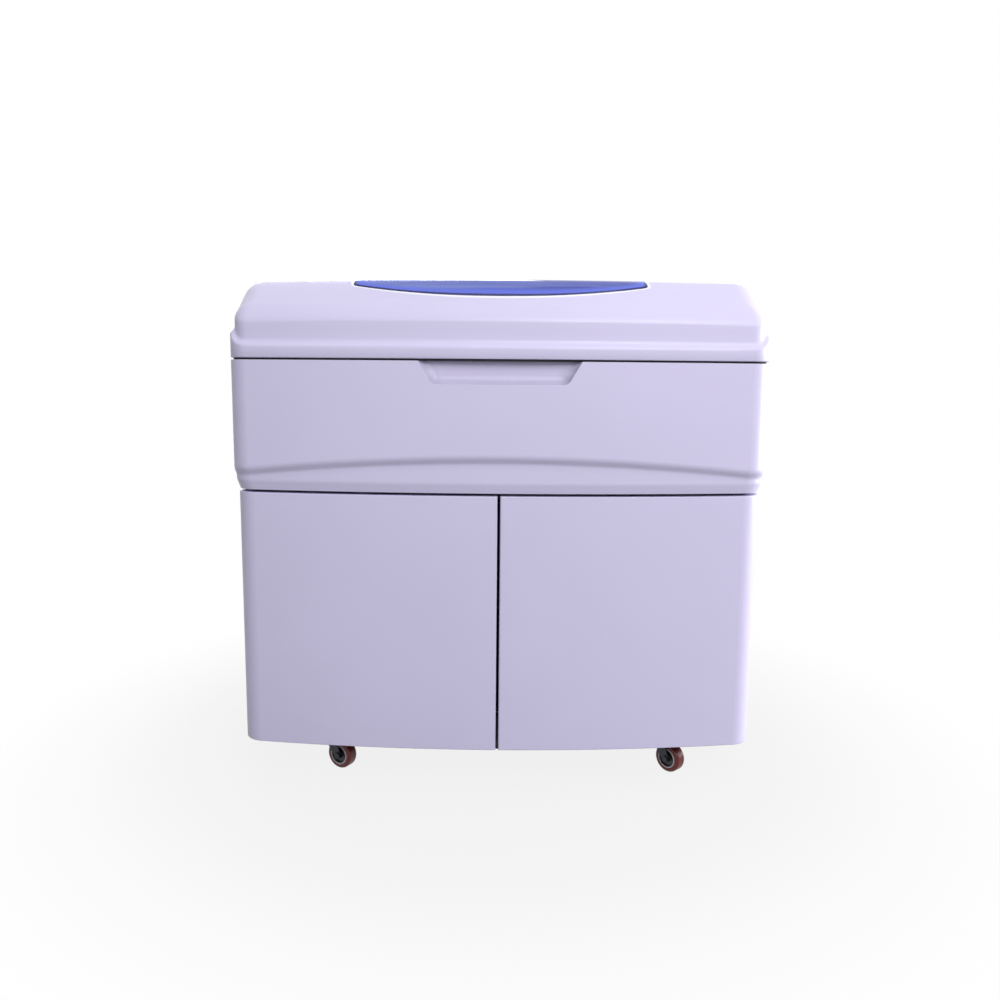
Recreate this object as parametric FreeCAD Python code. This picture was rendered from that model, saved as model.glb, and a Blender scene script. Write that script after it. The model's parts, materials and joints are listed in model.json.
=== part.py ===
import FreeCAD, Part
import math
import os
from FreeCAD import Vector

# Floor-standing chemistry analyzer. Millimetres, +Z up, front towards -Y, origin on the floor
# under the middle of the machine.

# Casters, which set the height of the frame
wheel_radius = 32.0
wheel_width = 27.0
hub_radius = 22.0
tyre_round = 6.0
caster_trail = 28.0
caster_turns = {"front_left": 30.0, "front_right": 48.0, "rear_left": 75.0, "rear_right": 110.0}
caster_plate_half = 40.0
caster_plate_thickness = 4.0
crown_gap = 11.0
crown_thickness = 5.0
crown_top = 2 * wheel_radius + crown_gap + crown_thickness
race_radius = 25.0
race_height = 12.0
king_pin_radius = 6.0
pin_head_radius = 9.0
pin_head_height = 3.0
fork_leg = 3.0
fork_side_gap = 2.0
axle_radius = 4.0
axle_boss_radius = 9.0
axle_cap_radius = 7.0
axle_cap_height = 3.0
frame_bottom = crown_top + race_height + caster_plate_thickness

# Plan of the moulded covers
body_half_width = 565.0
body_front = 370.0
body_rear = 351.0
bow_radius = 3500.0
corner_radius = 48.0
rear_corner_radius = 18.0
cover_wall = 4.0

# Heights of the casing, from the frame up
skirt_drop = 11.0
skirt_bottom = frame_bottom - skirt_drop
lower_body_height = 547.0
cover_bottom = frame_bottom + lower_body_height
door_top_gap = 6.0
door_top = cover_bottom - door_top_gap
cover_height = 271.0
cover_top = cover_bottom + cover_height
lid_gap = 4.0
lid_bottom = cover_top + lid_gap
lid_height = 172.0
lid_top = lid_bottom + lid_height

# Lid
lid_wall = 3.0
flange_step = 10.0
flange_rise = 8.0
flange_edge_front = lid_bottom + 24.0
flange_edge_side = lid_bottom + 44.0
flange_blend = 4.0
crease_front = lid_bottom + 91.0
crease_side = lid_bottom + 138.0
side_overlap = 0.6
crease_round = 10.0
slope_run_front = 115.0
slope_run_side = 46.0
crown_blend = 22.0
blend_steps = 4
lid_rib_count = 6
lid_rib_thickness = 2.5
lid_rib_depth = 14.0

# Window in the lid
window_half_length = 316.0
window_front = 300.0
window_shoulder = 238.0
window_rear = 30.0
window_rear_half_length = 290.0
window_corner = 24.0
window_proud = 2.0
window_gap = 0.3
window_lap = 12.0
window_lap_thickness = 2.0
bond_gap = 0.2

# Upper cover
arch_middle = cover_bottom + 76.0
arch_end = cover_bottom + 46.0
arch_side = cover_bottom + 43.0
arch_step_height = 14.0
band_inset = 9.0
band_side_inset = 2.0
edge_chamfer = 6.0
edge_chamfer_height = 20.0
step_blend = 6.0
band_blend = 4.0
recess_half_top = 166.0
recess_half_bottom = 138.0
recess_height = 47.0
recess_depth = 24.0
recess_round = 19.0
lip_thickness = 6.0
lip_overlap = 5.0
ledge_thickness = 4.0

# Place of the doors inside the covers' plan
door_side_step = 6.0
door_front_step = 15.0
door_half_width = body_half_width - door_side_step
door_front = body_front - door_front_step

# Welded frame of square tube
tube_size = 30.0
tube_wall = 2.0
frame_side_gap = 53.0
frame_front_gap = 85.0
frame_half_width = door_half_width - frame_side_gap
frame_front = door_front - frame_front_gap
shelf_height = 264.0
shelf_rail_top = frame_bottom + shelf_height
worktop_drop = 34.0
worktop_height = cover_top - worktop_drop

# Sheet metal
sheet = 1.5
pan_sheet = 2.0
pan_lap = 6.0
pan_gap = 0.5
panel_gap = 2.0

# Doors and their hinges
door_gap = 6.0
door_skin = 3.0
door_depth = 24.0
door_edge_round = 2.0
door_rib = 3.0
door_rib_depth = 14.0
door_rib_columns = 5
door_rib_rows = 4
pivot_inset = 18.0
pivot_behind_corner = 7.0
door_return = 24.0
door_panel_gap = 4.0
hinge_pin_radius = 4.0
running_gap = 0.08
hinge_boss_radius = 9.0
hinge_lug_height = 16.0
hinge_plate = 4.0
hinge_from_end = 18.0
face_gap = 0.3

# Lid hinges
lid_knuckle_radius = 9.0
lid_knuckle_gap = 1.0
lid_hinge_y = body_rear + lid_knuckle_radius + lid_knuckle_gap
lid_hinge_z = cover_top + lid_gap / 2
lid_pin_radius = 4.0
lid_hinge_inset = 185.0
lid_hinge_spacing = body_half_width - lid_hinge_inset
lid_hinge_half_length = 45.0
lid_leaf_height = 42.0
lid_leaf_thickness = 3.0

# Worktop
worktop_side_gap = 25.0
worktop_front_gap = 40.0
worktop_rear_gap = 16.0
worktop_half_width = body_half_width - worktop_side_gap
worktop_front = body_front - worktop_front_gap
worktop_rear = body_rear - worktop_rear_gap
worktop_sheet = 6.0
worktop_top = worktop_height + worktop_sheet
worktop_corner = 24.0

# Reaction bath, disk and cuvettes
reaction_y = 90.0
cuvette_ring = 135.0
cuvette_count = 36
cuvette_size = 8.4
cuvette_wall = 1.1
cuvette_depth = 36.0
cuvette_lip = 1.6
cuvette_lip_height = 1.5
disk_radius = 150.0
disk_thickness = 6.0
disk_bottom = worktop_top + 10.0
spindle_radius = 10.0
bath_floor = worktop_top - 34.0
bath_wall = 4.0
trough_half_width = 16.0
bath_rim = worktop_top + 6.0
flange_width = 8.0
flange_thickness = 4.0
boss_width = 14.0
boss_height = 24.0

# Columns of the probe arms, and the stores beyond them
column_x = 165.0
column_to_reagent = 165.0
column_to_sample = 180.0
reagent_x = column_x + column_to_reagent
sample_x = -column_x - column_to_sample

# Reagent tub, rotor and bottles
reagent_y = -40.0
reagent_ring = 100.0
bottle_count = 14
bottle_radius = 18.0
bottle_wall = 1.5
bottle_height = 50.0
neck_radius = 9.0
neck_height = 13.0
tub_radius = 135.0
tub_wall = 4.0
tub_depth = 80.0
tub_rise = 14.0
rotor_plate = 4.0
rotor_clearance = 6.0
lid_plate = 4.0
knob_radius = 16.0
knob_height = 20.0
pick_hole_radius = 8.0

# Sample rotor and tubes
sample_y = -90.0
sample_ring = 105.0
tube_count = 24
sample_tube_radius = 6.0
sample_tube_wall = 1.0
sample_tube_length = 58.0
tube_hole_gap = 0.4
sample_tub_radius = 128.0
sample_tub_depth = 46.0
rotor_upper_plate = worktop_top + 6.0

# Probe arms
column_y = -85.0
target_steps = 5
column_radius = 20.0
column_flange = 26.0
column_top = worktop_top + 44.0
column_bottom = worktop_top - 40.0
arm_shaft_radius = 6.0
arm_bottom = worktop_top + 94.0
arm_height = 26.0
arm_half_width = 17.0
arm_tip_half_width = 11.0
arm_wall = 2.0
lift_travel = 45.0
carriage_top = worktop_top - 96.0
carriage_height = 20.0
collar_radius = 10.0
collar_height = 8.0
guide_offset = 40.0
guide_radius = 5.0
needle_radius = 1.2
needle_bottom = worktop_top + 39.0
needle_holder_radius = 4.0
needle_holder_length = 18.0

# Wash head, wells and photometer
wash_step = 11
wash_column_distance = 215.0
wash_column_radius = 12.0
wash_rod_radius = 7.0
wash_column_top = worktop_top + 34.0
wash_head_bottom = worktop_top + 69.0
wash_head_height = 16.0
wash_head_half_width = 26.0
wash_needle_count = 3
wash_needle_bottom = worktop_top + 29.0
wash_travel = 30.0
well_radius = 11.0
well_bore = 6.0
well_top = worktop_top + 16.0
well_depth = 44.0
photometer_half_length = 75.0
photometer_depth = 48.0
photometer_height = 62.0
photometer_gap = 3.0
photometer_round = 6.0

# Lower bay
tank_length = 300.0
tank_depth = 230.0
tank_height = 165.0
tank_wall = 3.0
tank_round = 22.0
tank_cap_radius = 32.0
tank_cap_height = 16.0
tank_side_gap = 26.0
tank_x = frame_half_width - tube_size - tank_side_gap - tank_length / 2
tank_y = 10.0
pump_radius = 42.0
pump_length = 120.0
pump_head_radius = 34.0
pump_head_length = 42.0
pump_y = 190.0
pump_foot = 6.0
pump_lift = 4.0
supply_length = 220.0
supply_depth = 130.0
supply_height = 90.0
supply_x = -250.0
control_length = 280.0
control_depth = 200.0
control_height = 70.0
control_x = 240.0
box_wall = 1.5
box_y = 60.0
box_slots = 8
box_slot_width = 5.0

# Rear panel fittings
fan_inset = 229.0
fan_x = door_half_width - fan_inset
fan_z = skirt_bottom + 385.0
fan_half = 60.0
fan_bore = 56.0
fan_depth = 25.0
fan_hub = 20.0
fan_blades = 7
fan_blade_thickness = 2.0
fan_blade_gap = 2.0
guard_rings = 3
guard_wire = 2.5
guard_reach = fan_half * 1.25
fan_spindle_radius = 3.0
slot_count = 12
slot_length = 150.0
slot_width = 5.0
slot_pitch = 14.0
slot_x = -fan_x
slot_bottom = skirt_bottom + 315.0
inlet_inset = 119.0
inlet_x = door_half_width - inlet_inset
inlet_z = skirt_bottom + 95.0
inlet_half_length = 24.0
inlet_half_height = 14.0
inlet_depth = 28.0
inlet_border = 5.0
inlet_border_thickness = 3.0
inlet_round = 4.0
inlet_wall = 2.0
inlet_pin_spacing = 7.0
inlet_pin_drop = 2.5
inlet_pin_half_width = 1.0
inlet_pin_half_height = 2.0
inlet_pin_recess = 8.0
switch_spacing = 70.0
switch_x = inlet_x - switch_spacing
rocker_half_length = 7.0
rocker_half_height = 12.0
rocker_round = 30.0
rocker_tilt = 8.0
rocker_front = 5.0
rocker_back = 8.0
rocker_room = 1.5
rocker_pin_radius = 1.5
rocker_pin_depth = 3.0
switch_wall = 2.0
port_x = -inlet_x
port_z = inlet_z
port_pitch = 45.0
port_count = 3
port_radius = 5.0
port_bore = 3.2
port_lead = 5.0
port_tip_radius = 4.0
port_length = 17.0
port_plate = 3.0
port_border = 22.0

# Places of the casters under the frame
caster_inset = 131.0
caster_front_inset = 30.0
caster_rear_inset = 101.0
caster_x = frame_half_width - caster_inset
caster_front_y = -frame_front + caster_front_inset
caster_rear_y = body_rear - caster_rear_inset

FULL_TURN = 360.0
QUARTER_TURN = 90.0
UP = Vector(0, 0, 1)
TO_REAR = Vector(0, 1, 0)
TO_RIGHT = Vector(1, 0, 0)


# Plain solids

def block(x0, x1, y0, y1, z0, z1):
    """Box between two corners."""
    return Part.makeBox(x1 - x0, y1 - y0, z1 - z0, Vector(x0, y0, z0))


def rod(x, y, z0, z1, radius):
    """Upright cylinder."""
    return Part.makeCylinder(radius, z1 - z0, Vector(x, y, z0))


def pipe(x, y, z0, z1, outer, inner):
    """Upright tube, open at both ends."""
    return rod(x, y, z0, z1, outer).cut(rod(x, y, z0, z1, inner))


def turned(profile, x, y):
    """Solid of revolution about an upright axis, from points of radius and height."""
    points = [Vector(radius, 0, height) for radius, height in profile]
    face = Part.Face(Part.makePolygon(points + points[:1]))
    solid = face.revolve(Vector(0, 0, 0), UP, FULL_TURN)
    solid.translate(Vector(x, y, 0))
    return solid


def merged(solids):
    """One solid out of pieces that meet, without the seams between them."""
    first = solids[0]
    return first.fuse(solids[1:]).removeSplitter()


def rounded_block(x0, x1, y0, y1, z0, z1, radius):
    """Box with its four upright edges rounded."""
    solid = block(x0, x1, y0, y1, z0, z1)
    upright = [edge for edge in solid.Edges if abs(edge.tangentAt(0).z) > 0.5]
    return solid.makeFillet(radius, upright)


def mirrored(solid):
    """The same solid on the other side of the machine."""
    return solid.mirror(Vector(0, 0, 0), TO_RIGHT)


def on_ring(x, y, radius, angle):
    """Point on a circle round x, y at an angle in degrees."""
    turn = math.radians(angle)
    return Vector(x + radius * math.cos(turn), y + radius * math.sin(turn), 0)


def save(name, shape):
    """Write one sub-part, a solid or a group of separate solids."""
    shape.exportStep(os.path.join("parts", name + ".step"))


# The bowed plan that all the moulded covers share

def bow_y(front, x):
    """Depth of the bowed front at a distance x from the middle."""
    return bow_radius - front - math.sqrt(bow_radius ** 2 - x ** 2)


def front_corner(half_width, front, radius):
    """Centre of the right front corner and the angle at which the bowed front ends."""
    centre_x = half_width - radius
    reach = bow_radius - radius
    centre_y = bow_radius - front - math.sqrt(reach ** 2 - centre_x ** 2)
    start_angle = math.atan2(centre_y - bow_radius + front, centre_x)
    return Vector(centre_x, centre_y, 0), start_angle


def curve(points):
    """Smooth edge through the given points."""
    spline = Part.BSplineCurve()
    spline.interpolate(points)
    return spline.toShape()


def outline(half_width, front, rear, radius, middle_z, end_z, side_z):
    """Closed wire round the machine: bowed front, rounded corners, straight sides and back.

    Its height runs from middle_z through end_z at the ends of the front to side_z at the sides.
    """
    corner, start_angle = front_corner(half_width, front, radius)
    end_x = corner.x + radius * math.cos(start_angle)
    front_points = []
    for step in range(-4, 5):
        x = end_x * step / 4
        z = middle_z + (end_z - middle_z) * (x / end_x) ** 2
        front_points.append(Vector(x, bow_y(front, x), z))
    corner_points = []
    for step in range(5):
        part = step / 4
        angle = start_angle * (1 - part)
        ease = part ** 3 * (4 - 3 * part)
        point = corner + Vector(radius * math.cos(angle), radius * math.sin(angle), 0)
        corner_points.append(point + UP * (end_z + (side_z - end_z) * ease))
    other_corner = [Vector(-point.x, point.y, point.z) for point in reversed(corner_points)]
    rear_start = Vector(half_width, rear - rear_corner_radius, side_z)
    rear_centre = Vector(half_width - rear_corner_radius, rear - rear_corner_radius, side_z)
    diagonal = Vector(1, 1, 0).normalize() * rear_corner_radius
    rear_middle = rear_centre + diagonal
    rear_end = Vector(half_width - rear_corner_radius, rear, side_z)
    flip = [Vector(-point.x, point.y, point.z) for point in (rear_end, rear_middle, rear_start)]
    edges = [curve(front_points),
             curve(corner_points),
             Part.makeLine(corner_points[-1], rear_start),
             Part.Arc(rear_start, rear_middle, rear_end).toShape(),
             Part.makeLine(rear_end, flip[0]),
             Part.Arc(*flip).toShape(),
             Part.makeLine(flip[2], other_corner[0]),
             curve(other_corner)]
    return Part.Wire(edges)


def level_slab(half_width, front, rear, radius, z0, z1):
    """Upright-walled solid on the bowed plan."""
    wire = outline(half_width, front, rear, radius, z0, z0, z0)
    return Part.Face(wire).extrude(UP * (z1 - z0))


def blended(corners, reaches):
    """Profile through the corners, each inner corner rounded from its reach before it to its reach after it."""
    path = [corners[0]]
    for before, corner, after, reach in zip(corners, corners[1:], corners[2:], reaches):
        start = corner + (before - corner).normalize() * reach
        end = corner + (after - corner).normalize() * reach
        for step in range(blend_steps + 1):
            part = step / blend_steps
            path.append(start * (1 - part) ** 2 + corner * (2 * part * (1 - part)) + end * part ** 2)
    return path + [corners[-1]]


def drawn_in(path, inset):
    """The same profile moved square to itself by a wall thickness, to the right of its direction."""
    moved = []
    for step, point in enumerate(path):
        before = path[max(step - 1, 0)]
        after = path[min(step + 1, len(path) - 1)]
        along = (after - before).normalize()
        moved.append(point + Vector(along.z, 0, -along.x) * inset)
    return moved


# Lid

def lid_wall_form(inset):
    """Flange, step and upright face of the lid as one solid, carried up past the lid's top."""
    top = Vector(flange_step, 0, lid_top + tube_size)
    paths = []
    for edge in (flange_edge_front, flange_edge_side):
        corners = [Vector(0, 0, lid_bottom),
                   Vector(0, 0, edge),
                   Vector(flange_step, 0, edge + flange_rise),
                   top]
        path = drawn_in(blended(corners, (flange_blend, flange_blend)), inset)
        path[-1].z = top.z
        if inset > 0:
            path[0].z -= lid_wall
        paths.append(path)
    sections = []
    for front_point, side_point in zip(*paths):
        sections.append(outline(body_half_width - side_point.x, body_front - front_point.x,
                                body_rear - side_point.x, corner_radius - inset,
                                front_point.z, front_point.z, side_point.z))
    return Part.makeLoft(sections, True, True)


def slope_body(inset):
    """Everything under the lid's long front slope: the slope's profile turned about the bow's middle."""
    axis_y = bow_radius - body_front
    slope_length = math.hypot(slope_run_front, lid_top - crease_front)
    lean = Vector(slope_run_front, 0, lid_top - crease_front) * (1 / slope_length)
    crease = Vector(flange_step, 0, crease_front)
    crown = Vector(flange_step + slope_run_front, 0, lid_top)
    corners = [crease - lean * tube_size * 2, crown, crown + TO_RIGHT * body_front * 2]
    path = drawn_in(corners, inset)
    path[-1].z = lid_top - inset
    crown = path[1] + TO_RIGHT * inset * (slope_length - slope_run_front) / (lid_top - crease_front)
    crown.z = lid_top - inset
    start = crown - lean * crown_blend
    end = crown + TO_RIGHT * crown_blend
    middle = crown + (TO_RIGHT - lean) * (crown_blend / 4)
    at = lambda point: Vector(0, point.x - body_front, point.z)
    foot = lid_bottom - tube_size
    rim = [at(path[0]), at(start)]
    deep = at(path[-1])
    edges = [Part.makeLine(rim[0], rim[1]),
             Part.Arc(rim[1], at(middle), at(end)).toShape(),
             Part.makeLine(at(end), deep),
             Part.makeLine(deep, Vector(0, deep.y, foot)),
             Part.makeLine(Vector(0, deep.y, foot), Vector(0, rim[0].y, foot)),
             Part.makeLine(Vector(0, rim[0].y, foot), rim[0])]
    reach = bow_radius - body_front - body_rear
    half_turn = math.degrees(math.asin((body_half_width + tube_size) / reach))
    face = Part.Face(Part.Wire(edges))
    centre = Vector(0, axis_y, 0)
    face.rotate(centre, UP, -half_turn)
    return face.revolve(centre, UP, 2 * half_turn)


def side_body(inset):
    """Everything under the lid's rounded sides: a quarter of an ellipse at each side, carried from front to rear."""
    half = body_half_width - flange_step - inset + side_overlap
    run = slope_run_side - inset + side_overlap
    rise = lid_top - crease_side - inset
    front = -body_front - tube_size
    foot = lid_bottom - tube_size
    points = []
    for step in range(7):
        turn = math.radians(QUARTER_TURN) * step / 6
        points.append(Vector(half - run * (1 - math.cos(turn)), front, crease_side + rise * math.sin(turn)))
    other = [Vector(-point.x, point.y, point.z) for point in reversed(points)]
    corner = Vector(half + tube_size, front, foot)
    other_corner = Vector(-half - tube_size, front, foot)
    edges = [Part.makeLine(corner, points[0]),
             curve(points),
             Part.makeLine(points[-1], other[0]),
             curve(other),
             Part.makeLine(other[-1], other_corner),
             Part.makeLine(other_corner, corner)]
    return Part.Face(Part.Wire(edges)).extrude(TO_REAR * (2 * body_front + tube_size))


def rear_body(inset):
    """Everything under the lid's rounded rear edge: a quarter of an ellipse carried from side to side."""
    rear = body_rear - flange_step - inset + side_overlap
    run = slope_run_side - inset + side_overlap
    rise = lid_top - crease_side - inset
    left = -body_half_width - tube_size
    foot = lid_bottom - tube_size
    points = []
    for step in range(7):
        turn = math.radians(QUARTER_TURN) * step / 6
        points.append(Vector(left, rear - run * (1 - math.cos(turn)), crease_side + rise * math.sin(turn)))
    front_top = Vector(left, -body_front - tube_size, points[-1].z)
    front_foot = Vector(left, front_top.y, foot)
    rear_foot = Vector(left, rear + tube_size, foot)
    edges = [Part.makeLine(rear_foot, points[0]),
             curve(points),
             Part.makeLine(points[-1], front_top),
             Part.makeLine(front_top, front_foot),
             Part.makeLine(front_foot, rear_foot)]
    return Part.Face(Part.Wire(edges)).extrude(TO_RIGHT * (-2 * left))


def lid_form(inset):
    """Solid inside the lid's outer surface, drawn in by a wall thickness."""
    form = lid_wall_form(inset)
    for cover in (slope_body(inset), side_body(inset), rear_body(inset)):
        form = form.common(cover)
    return form


def window_prism(margin):
    """Upright prism over the window's plan, grown by a margin."""
    half = window_half_length + margin
    rear_half = window_rear_half_length + margin
    left = Vector(-half, -window_shoulder, crease_front)
    right = Vector(half, -window_shoulder, crease_front)
    middle = Vector(0, -window_front - margin, crease_front)
    rear_right = Vector(rear_half, -window_rear + margin, crease_front)
    rear_left = Vector(-rear_half, -window_rear + margin, crease_front)
    edges = [Part.Arc(left, middle, right).toShape(),
             Part.makeLine(right, rear_right),
             Part.makeLine(rear_right, rear_left),
             Part.makeLine(rear_left, left)]
    prism = Part.Face(Part.Wire(edges)).extrude(UP * (lid_top - crease_front + tube_size))
    upright = [edge for edge in prism.Edges if abs(edge.tangentAt(0).z) > 0.5]
    return prism.makeFillet(window_corner + margin, upright)


def lid_ribs():
    """Stiffening ribs under the lid's flat top, behind the window."""
    front = -window_rear + window_lap + lid_rib_depth
    rear = body_rear - flange_step - slope_run_side
    half = body_half_width - flange_step - slope_run_side
    bottom = lid_top - lid_wall - lid_rib_depth
    ribs = []
    for step in range(lid_rib_count):
        x = half * (2 * (step + 0.5) / lid_rib_count - 1)
        ribs.append(block(x - lid_rib_thickness / 2, x + lid_rib_thickness / 2,
                          front, rear, bottom, lid_top - lid_wall / 2))
    ribs.append(block(-half, half, front, front + lid_rib_thickness, bottom, lid_top - lid_wall / 2))
    return ribs


def lid_outside():
    """Outer form of the lid with the crease over its upright front rounded."""
    form = lid_form(0)
    crease = []
    for edge in form.Edges:
        lowest = edge.optimalBoundingBox().ZMin
        in_front = edge.optimalBoundingBox().YMax < -window_front
        if abs(lowest - crease_front) < 2 and in_front and edge.Length > crease_round:
            crease.append(edge)
    return form.makeFillet(crease_round, crease)


def lid_shell():
    """Moulded lid: open underneath, with the window's opening and ribs."""
    shell = lid_outside().cut(lid_form(lid_wall))
    return shell.fuse(lid_ribs()).cut(window_prism(0))


def lid_window():
    """Bent clear pane that fills the opening and laps under its edge."""
    under = lid_form(lid_wall + bond_gap)
    pane = window_prism(-window_gap).common(lid_form(-window_proud)).cut(under)
    lap = window_prism(window_lap).common(under)
    lap = lap.cut(lid_form(lid_wall + bond_gap + window_lap_thickness))
    return merged([pane, lap])


def lid_hinge(x, above):
    """One half of a lid hinge: a leaf on the rear face and its share of the knuckles."""
    third = lid_hinge_half_length * 2 / 3
    leaf_front = body_rear
    leaf_rear = body_rear + lid_leaf_thickness
    start = x - lid_hinge_half_length
    spans = [(start + third + face_gap, start + 2 * third - face_gap)]
    leaf_z = (lid_hinge_z + lid_knuckle_radius + face_gap, lid_hinge_z + lid_leaf_height)
    bore = lid_pin_radius + running_gap
    if not above:
        spans = [(start, start + third), (start + 2 * third, start + 3 * third)]
        leaf_z = (lid_hinge_z - lid_leaf_height, lid_hinge_z - lid_knuckle_radius - face_gap)
    pieces = [block(start, start + 3 * third, leaf_front, leaf_rear, *leaf_z)]
    centre = Vector(0, lid_hinge_y, lid_hinge_z)
    for x0, x1 in spans:
        knuckle = Part.makeCylinder(lid_knuckle_radius, x1 - x0, centre + TO_RIGHT * x0, TO_RIGHT)
        near = lid_hinge_z if above else leaf_z[0] + lid_leaf_height / 2
        far = leaf_z[1] - lid_leaf_height / 2 if above else lid_hinge_z
        web = block(x0, x1, leaf_front, lid_hinge_y, near, far)
        reach = block(x0, x1, leaf_front, leaf_rear + lid_knuckle_radius / 2,
                      lid_hinge_z - face_gap - 1, lid_hinge_z + face_gap + 1)
        edge = web.common(Part.makeBox(x1 - x0, lid_hinge_y - leaf_front, abs(far - near),
                                       Vector(x0, leaf_front, near)))
        edge = edge.cut(reach) if above else edge
        pieces += [knuckle, edge]
    solid = merged(pieces)
    hole = Part.makeCylinder(bore, 2 * lid_hinge_half_length, centre + TO_RIGHT * start, TO_RIGHT)
    if above:
        return solid.cut(hole)
    pin = Part.makeCylinder(lid_pin_radius, 2 * lid_hinge_half_length, centre + TO_RIGHT * start, TO_RIGHT)
    return merged([solid, pin])


# Upper cover

def cover_profile(arch, band):
    """Cover's profile from its lower edge up: chamfer, band, step, upright face."""
    corners = [Vector(band + edge_chamfer, 0, cover_bottom),
               Vector(band, 0, cover_bottom + edge_chamfer_height),
               Vector(band, 0, arch - arch_step_height),
               Vector(0, 0, arch),
               Vector(0, 0, cover_top)]
    return blended(corners, (band_blend, band_blend, step_blend))


def cover_form(inset, extra):
    """Solid inside the upper cover's outer surface, drawn in by a wall thickness, longer at both ends by extra."""
    middle = drawn_in(cover_profile(arch_middle, band_inset), inset)
    end = drawn_in(cover_profile(arch_end, band_inset), inset)
    side = drawn_in(cover_profile(arch_side, band_side_inset), inset)
    sections = []
    for middle_point, end_point, side_point in zip(middle, end, side):
        sections.append((body_half_width - side_point.x, body_front - middle_point.x,
                         middle_point.z, end_point.z, side_point.z))
    low = list(sections[0])
    high = list(sections[-1])
    low[2:] = [cover_bottom - extra] * 3
    high[2:] = [cover_top + extra] * 3
    sections[0] = low
    sections[-1] = high
    wires = [outline(half, front, body_rear - inset, corner_radius - inset, *heights)
             for half, front, *heights in sections]
    return Part.makeLoft(wires, True, True)


def hand_recess(margin):
    """Scoop in the cover's top edge, where the fingers reach under the lid's flange."""
    bottom = cover_top - recess_height - margin
    top = cover_top + margin
    half_top = recess_half_top + margin
    half_bottom = recess_half_bottom + margin
    start = -body_front - tube_size
    corners = [Vector(-half_top, start, top), Vector(half_top, start, top),
               Vector(half_bottom, start, bottom), Vector(-half_bottom, start, bottom)]
    face = Part.Face(Part.makePolygon(corners + corners[:1]))
    scoop = face.extrude(TO_REAR * (tube_size + recess_depth + margin))
    back = -body_front + recess_depth + margin
    rounded = []
    for edge in scoop.Edges:
        centre = edge.CenterOfMass
        lies_low = centre.z < top - 1
        at_back = centre.y > back - 1
        runs_back = abs(edge.tangentAt(0).y) > 0.5
        if lies_low and (at_back or runs_back):
            rounded.append(edge)
    return scoop.makeFillet(recess_round + margin, rounded)


def upper_cover():
    """Moulded ring between doors and lid, with its lip, its ledge and the hand recess."""
    outer = cover_form(0, 0)
    inner = cover_form(cover_wall, 1)
    ring = outer.cut(inner)
    scoop = hand_recess(cover_wall).common(outer)
    lip = level_slab(body_half_width - cover_wall / 2, body_front - cover_wall / 2, body_rear - cover_wall / 2,
                     corner_radius - cover_wall / 2, cover_top - lip_thickness, cover_top)
    lip = lip.cut(level_slab(worktop_half_width - lip_overlap, worktop_front - lip_overlap,
                             worktop_rear - lip_overlap, worktop_corner, cover_top - lip_thickness, cover_top))
    low_front = body_front - band_inset - edge_chamfer - cover_wall / 2
    low_half = body_half_width - band_side_inset - edge_chamfer - cover_wall / 2
    ledge = level_slab(low_half, low_front, body_rear - cover_wall / 2, corner_radius - cover_wall,
                       cover_bottom, cover_bottom + ledge_thickness)
    inside = frame_half_width - tube_size / 2
    rear_inside = frame_rear() - tube_size / 2
    ledge = ledge.cut(block(-inside, inside, -frame_front + tube_size / 2, rear_inside,
                            cover_bottom, cover_bottom + ledge_thickness))
    for post in frame_posts(0):
        ledge = ledge.cut(post)
    whole = ring.fuse([scoop, lip, ledge])
    return whole.cut(hand_recess(0))


# Welded frame

def frame_rear():
    """Rear face of the frame, just inside the upper cover's rear wall."""
    return body_rear - cover_wall - face_gap


def panel_face():
    """Outer face of the rear panel, which lies on the frame."""
    return frame_rear() + sheet


def frame_posts(thinner):
    """The four corner posts."""
    size = tube_size - thinner
    posts = []
    for x in (-frame_half_width + thinner, frame_half_width - size):
        for y in (-frame_front + thinner, frame_rear() - size):
            posts.append(block(x, x + size - thinner, y, y + size - thinner,
                               frame_bottom + thinner, worktop_height - thinner))
    return posts


def frame_tubes(thinner):
    """All tubes of the frame, solid, each drawn in by the given amount."""
    half = frame_half_width - thinner
    front = -frame_front + thinner
    rear = frame_rear() - thinner
    size = tube_size - 2 * thinner
    tubes = frame_posts(thinner)
    for top in (frame_bottom + tube_size, cover_bottom, worktop_height):
        z1 = top - thinner
        z0 = z1 - size
        tubes += [block(-half, half, front, front + size, z0, z1),
                  block(-half, half, rear - size, rear, z0, z1),
                  block(-half, -half + size, front, rear, z0, z1),
                  block(half - size, half, front, rear, z0, z1)]
    z1 = shelf_rail_top - thinner
    tubes += [block(-half, -half + size, front, rear, z1 - size, z1),
              block(half - size, half, front, rear, z1 - size, z1)]
    z0 = frame_bottom + thinner
    for x in (-caster_x, caster_x):
        tubes.append(block(x - size / 2, x + size / 2, front, rear, z0, z0 + size))
    return tubes


def main_frame():
    """Welded frame of hollow square tube."""
    return merged(frame_tubes(0)).cut(merged(frame_tubes(tube_wall)))


def tray(z0):
    """Sheet that lies between the posts on the side tubes."""
    half = frame_half_width - tube_size + pan_lap
    front = -frame_front + tube_size + pan_gap
    rear = frame_rear() - tube_size - pan_gap
    return block(-half, half, front, rear, z0, z0 + pan_sheet)


# Doors

def pivot():
    """Axis of the right door."""
    corner, start_angle = front_corner(door_half_width, door_front, corner_radius)
    return Vector(door_half_width - pivot_inset, corner.y + pivot_behind_corner, 0)


def door_layer(depth, z0, z1):
    """Solid inside the doors' outer surface, drawn in by a depth."""
    return level_slab(door_half_width - depth, door_front - depth, body_rear - depth, corner_radius - depth, z0, z1)


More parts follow.
